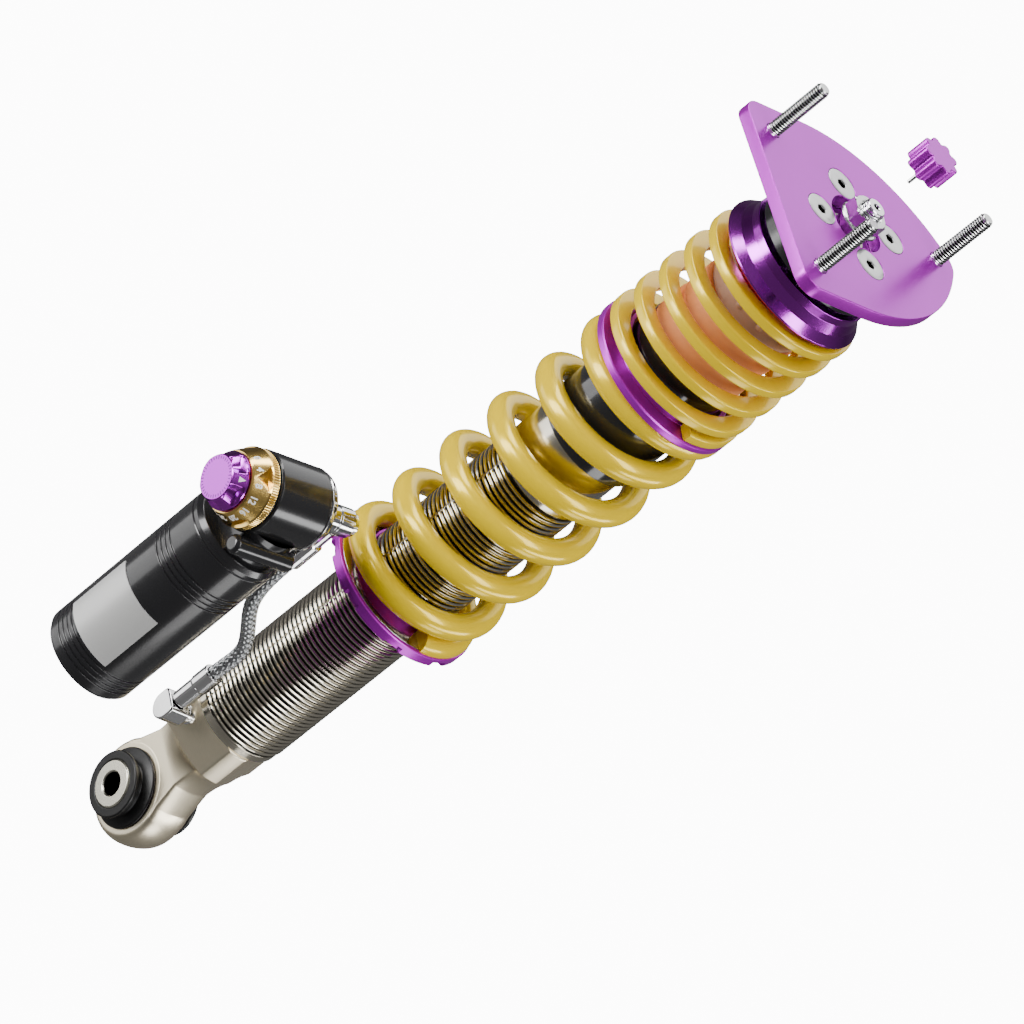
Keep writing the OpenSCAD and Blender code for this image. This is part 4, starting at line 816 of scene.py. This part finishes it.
# ---------------------------------------------------------------- union bolt and union eye
# Bright steel union: an eye round a hollow bolt that screws into the head's end, with the hose's crimped
# upper ferrule below it.
profile = [(5.52, 61.2), (7.0, 61.2), (7.8, 62.0), (7.8, 71.0), (7.0, 71.7), (7.0, 87.0), (5.52, 87.0),
           (5.52, 61.2)]
union = turned("UnionEye", rounded(profile, 0.5), n=96, **ALONG)
done(union, STEEL, "lower_strut", "steel", "union_eye")
profile = [(0.02, 58.0), (5.6, 58.0), (6.2, 58.6), (6.2, 61.15), (5.5, 61.2), (5.5, 102)]
bolt = turned("UnionBolt", rounded(profile, 0.3), n=96, **ALONG)
done(bolt, STEEL, "lower_strut", "steel", "union_bolt")
profile = [(4.1, 188.0), (5.0, 188.0), (5.5, 188.6), (5.5, 195.6), (5.25, 196), (5.5, 196.4), (5.5, 205.4),
           (4.9, 206), (4.2, 206.6), (4.2, 217.3)]
ferrule = turned("UpperFerrule", rounded(profile, 0.25), centre=(66.3, RES_Y, 0), n=80)
done(ferrule, STEEL, "lower_strut", "steel", "upper_ferrule")

# ---------------------------------------------------------------- lower fitting
# Crimped ferrule, a rounded union block and the ringed neck that joins it to the collar, all bright
# steel. The whole fitting points five degrees off the X axis.
PORT_TURN, PORT_R = math.radians(-5), 36.7
spot = (PORT_R * math.cos(PORT_TURN), PORT_R * math.sin(PORT_TURN), 0)
profile = [(3.0, 71), (5.3, 71), (5.3, 84.6), (5.5, 85.4), (5.8, 86), (5.8, 96.4), (5.4, 97), (4.2, 97)]
ferrule = turned("LowerFerrule", rounded(profile, 0.3), centre=spot, n=80)
done(ferrule, STEEL, "lower_strut", "steel", "lower_ferrule")
BLOCK_R, BLOCK_HIGH, SQUARENESS = 7.5, 7.0, 7


def block_shape(r, z, a):
    """Union block: round below its axis, and above it a rounded box as wide as the round part and 7 mm
    high."""
    across, height = np.abs(np.cos(a)) / BLOCK_R, np.abs(np.sin(a)) / BLOCK_HIGH
    box = 1 / (across ** SQUARENESS + height ** SQUARENESS) ** (1 / SQUARENESS)
    return np.where(np.sin(a) > 0, box * r / BLOCK_R, r)


profile = [(0.02, 30.3), (6.9, 30.3), (BLOCK_R, 30.9), (BLOCK_R, 42.5), (6.7, 43.1), (0.02, 43.1)]
block = turned("UnionBlock", rounded(profile, 0.4), axis="X", centre=(0, 0, 63), n=160, shape=block_shape)
profile = [(0.02, 20), (5, 20), (5, 23.6), (5.6, 24), (5.6, 25.6), (4.9, 26), (4.9, 26.6), (5.6, 27),
           (5.6, 28.6), (4.6, 29), (4.6, 30.4)]
neck = turned("UnionNeck", rounded(profile, 0.2), axis="X", centre=(0, 0, 64), n=96)
union_low = join("LowerUnion", [block, neck])
union_low.data.transform(Matrix.Rotation(PORT_TURN, 4, "Z"))
done(union_low, STEEL, "lower_strut", "steel", "lower_union", "union_screw")

# ---------------------------------------------------------------- braided hose
# Stainless steel braid over a rubber hose, 8 mm across, crimped in both ferrules. Two crossing sets of
# strands lift the surface along the route's smooth curve.
BRAID = finish("BraidedSteel", (0.42, 0.43, 0.44), 0.26, 1.0, variation=0.20, grain=0.2, scale=2500,
               bump=0.15)
STRANDS, STRAND_STEP, STRAND_LIFT, HOSE_CORE = 8, 4.2, 0.26, 3.76
route = np.array([[36.56, -3.2, 97], [36.16, -3.2, 105], [35.76, -3.2, 113], [37.56, -3.3, 121],
                  [42.6, -3.5, 129], [49, -3.6, 137], [55.4, -3.7, 145], [61, -3.8, 154], [64.3, -4, 164],
                  [65.9, -4, 175], [66.3, -4, 184], [66.3, -4, 188]])


def route_curve(pts, per):
    """Catmull-Rom curve through the points, its ends doubled."""
    p = np.concatenate([pts[:1], pts, pts[-1:]])
    t = np.linspace(0, 1, per, endpoint=False)[:, None]
    out = []
    for a, b, c, d in zip(p[:-3], p[1:-2], p[2:-1], p[3:]):
        square, cube = 2 * a - 5 * b + 4 * c - d, 3 * b - a - 3 * c + d
        out.append(0.5 * (2 * b + (c - a) * t + square * t ** 2 + cube * t ** 3))
    return np.concatenate(out + [pts[-1:]])


line = route_curve(route, 40)
length = np.concatenate([[0], np.cumsum(np.linalg.norm(np.diff(line, axis=0), axis=1))])
even = np.linspace(0, length[-1], 520)
line = np.stack([np.interp(even, length, line[:, k]) for k in range(3)], -1)
tangent = np.gradient(line, axis=0)
tangent /= np.linalg.norm(tangent, axis=1)[:, None]
side = np.cross([-0.83, -0.56, 0], tangent)
side /= np.linalg.norm(side, axis=1)[:, None]
other = np.cross(tangent, side)
a = angles(64)[None, :]
twist = even[:, None] * 2 * np.pi / STRAND_STEP
wave = np.maximum(np.cos(STRANDS * a + twist), np.cos(STRANDS * a - twist))
r = (HOSE_CORE + STRAND_LIFT * wave) * MM
section = np.stack([r * np.cos(a), r * np.sin(a)], -1)
hose = swept("BraidedHose", line * MM, section, np.stack([side, other], 1))
done(hose, BRAID, "lower_strut", "braid", "braided_hose")

# ---------------------------------------------------------------- rebound knob
# Violet anodised star knob with eight lobes, drawn off the rod on its thin pin. It is milled to one
# outline, and its edges are eased.
KNOB_R, KNOB_LOBE, KNOB_FLAT, KNOB_LOW, KNOB_TOP = 10.15, 1.25, 0.18, 568, 581
a = angles(384)
lobe = KNOB_R + KNOB_LOBE * np.cos(8 * a) - KNOB_FLAT * np.cos(16 * a)
star = np.stack([lobe * np.cos(a), lobe * np.sin(a)], -1)
knob = flat_curve("ReboundKnob", [star], KNOB_LOW, KNOB_TOP, 0.7, 4)
done(knob, VIOLET, "knob", "violet", "rebound_knob")

# ---------------------------------------------------------------- inner pieces and label
# The pieces that keep their CAD form: the damper's and the reservoir's insides, the ball joint and its
# spacers, the spindle, the knob's pin and the bare film label. Each takes the finish of its slot.
THREAD = finish("ThreadMetal", (0.56, 0.52, 0.43), 0.17, 1.0, variation=0.05, bump=0.02)
GREY = finish("LabelFilm", (0.52, 0.52, 0.51), 0.35, 0.3, variation=0.04, bump=0.02)
PTFE = finish("LinerFilm", (0.80, 0.78, 0.68), 0.5, variation=0.05)
BRONZE = finish("BronzeBand", (0.30, 0.17, 0.09), 0.5, 0.2, variation=0.1)
BRASS = finish("TurnedBrass", (0.75, 0.58, 0.25), 0.28, 1.0, variation=0.05)
SLOTS = {"champagne": CHAMPAGNE, "nickel": THREAD, "steel": STEEL, "zinc": ZINC, "hard_chrome": CHROME,
         "rubber": RUBBER, "violet": VIOLET, "dark_violet": VIOLET_DARK, "yellow_paint": YELLOW,
         "black_anodised": BLACK, "gold": GOLD, "dust_plastic": GLOSS, "foam": SALMON, "foam_brown": SHADED_FOAM,
         "braid": BRAID, "grey_label": GREY, "ptfe": PTFE, "band": BRONZE, "brass": BRASS}
for part in frame["record"]["subparts"]:
    mesh = frame["nodes"][part["node"]].data
    mesh.materials.clear()
    mesh.materials.append(SLOTS[part["material_slot"]])

# ---------------------------------------------------------------- floor, light and camera
# Pale floor that shows white to the camera and stays dark in reflections, so that bright metal keeps its
# contrast. A long lens looks down on the unit, and soft boxes stand round it.
FLOOR_HALF, FLOOR_Z = 30, -0.6
floor_mesh = bpy.data.meshes.new("Floor")
corners = [(x * FLOOR_HALF, y * FLOOR_HALF, FLOOR_Z) for x, y in ((-1, -1), (1, -1), (1, 1), (-1, 1))]
floor_mesh.from_pydata(corners, [], [(0, 1, 2, 3)])
floor = bpy.data.objects.new("Floor", floor_mesh)
bpy.context.scene.collection.objects.link(floor)


def camera_glow(n, link, target, gain, base):
    """Strength base for every ray, and gain more for the camera's own rays."""
    ray, glow = n.new("ShaderNodeLightPath"), n.new("ShaderNodeMath")
    glow.operation = "MULTIPLY_ADD"
    glow.inputs[1].default_value = gain
    glow.inputs[2].default_value = base
    link(ray.outputs["Is Camera Ray"], glow.inputs[0])
    link(glow.outputs[0], target)


pale = bpy.data.materials.new("PaleFloor")
pale.use_nodes = True
shader = pale.node_tree.nodes["Principled BSDF"]
shader.inputs["Base Color"].default_value = (0.05, 0.05, 0.05, 1)
shader.inputs["Roughness"].default_value = 0.9
shader.inputs["Emission Color"].default_value = (1, 1, 1, 1)
camera_glow(pale.node_tree.nodes, pale.node_tree.links.new, shader.inputs["Emission Strength"], 12.0, 0.05)
floor_mesh.materials.append(pale)

right = Vector((-0.69009, 0.24364, 0.68148))
up = Vector((0.25517, -0.79925, 0.54414))
back = right.cross(up)
eye_point = Vector((2.0250, 1.64917, 1.74259))
SENSOR_MM, FOCAL_PIXELS, FRAME_PIXELS = 36, 6000, 1024
camera_data = bpy.data.cameras.new("Camera")
camera_data.sensor_width = SENSOR_MM
camera_data.lens = SENSOR_MM * FOCAL_PIXELS / FRAME_PIXELS
camera_data.clip_start, camera_data.clip_end = 0.1, 100
camera = bpy.data.objects.new("Camera", camera_data)
bpy.context.scene.collection.objects.link(camera)
camera.matrix_world = Matrix([(right[k], up[k], back[k], eye_point[k]) for k in range(3)] + [(0, 0, 0, 1)])
bpy.context.scene.camera = camera
middle = Vector((0, 0, 0.27))


def from_world(x, y, z, far):
    """A world direction as distances along the camera's own axes, far metres out."""
    out = Vector((x, y, z)).normalized() * far
    return out.dot(right), out.dot(up), out.dot(back)


def softbox(name, across, above, toward, size, power):
    """Area light placed in the camera's own axes (right, up, back) from the object's middle, facing it.
    Metres."""
    data = bpy.data.lights.new(name, "AREA")
    data.shape = "RECTANGLE"
    data.size, data.size_y = size
    data.energy = power
    lamp = bpy.data.objects.new(name, data)
    bpy.context.scene.collection.objects.link(lamp)
    lamp.location = middle + right * across + up * above + back * toward
    lamp.rotation_mode = "QUATERNION"
    lamp.rotation_quaternion = (middle - lamp.location).to_track_quat("-Z", "Y")
    return lamp


softbox("PlateLight", *from_world(-0.68, -0.55, 0.49, 2.2), (1.8, 1.6), 17)
softbox("DialLight", *from_world(0.68, -0.55, -0.49, 1.3), (0.9, 0.7), 5)
softbox("KeyLight", -1.5, 1.3, 1.1, (0.8, 2.2), 85)
softbox("FillLight", 1.9, 0.2, 1.5, (0.7, 2.0), 46)
softbox("CollarLight", *from_world(-0.22, 0.84, -0.45, 1.4), (0.6, 0.6), 5)
softbox("TopLight", 0.6, 2.1, 0.2, (2.0, 0.6), 42)
softbox("RimLight", 1.2, -1.6, 0.4, (2.0, 0.5), 30)

world = bpy.data.worlds.new("Studio")
bpy.context.scene.world = world
world.use_nodes = True
n, link = world.node_tree.nodes, world.node_tree.links.new
where, ramp, split, stretch = (n.new("ShaderNode" + x) for x in (
    "TexCoord", "ValToRGB", "SeparateXYZ", "Math"))
link(where.outputs["Generated"], split.inputs[0])
stretch.operation = "MULTIPLY_ADD"
stretch.inputs[1].default_value = 0.5
stretch.inputs[2].default_value = 0.5
link(split.outputs["Z"], stretch.inputs[0])
link(stretch.outputs[0], ramp.inputs["Fac"])
stops = ramp.color_ramp.elements
stops[0].position, stops[0].color = 0.46, (0.10, 0.10, 0.10, 1)
stops[1].position, stops[1].color = 1.0, (0.30, 0.30, 0.31, 1)
stops.new(0.54).color = (0.05, 0.05, 0.052, 1)
link(ramp.outputs["Color"], n["Background"].inputs["Color"])
camera_glow(n, link, n["Background"].inputs["Strength"], 40.0, 1.0)
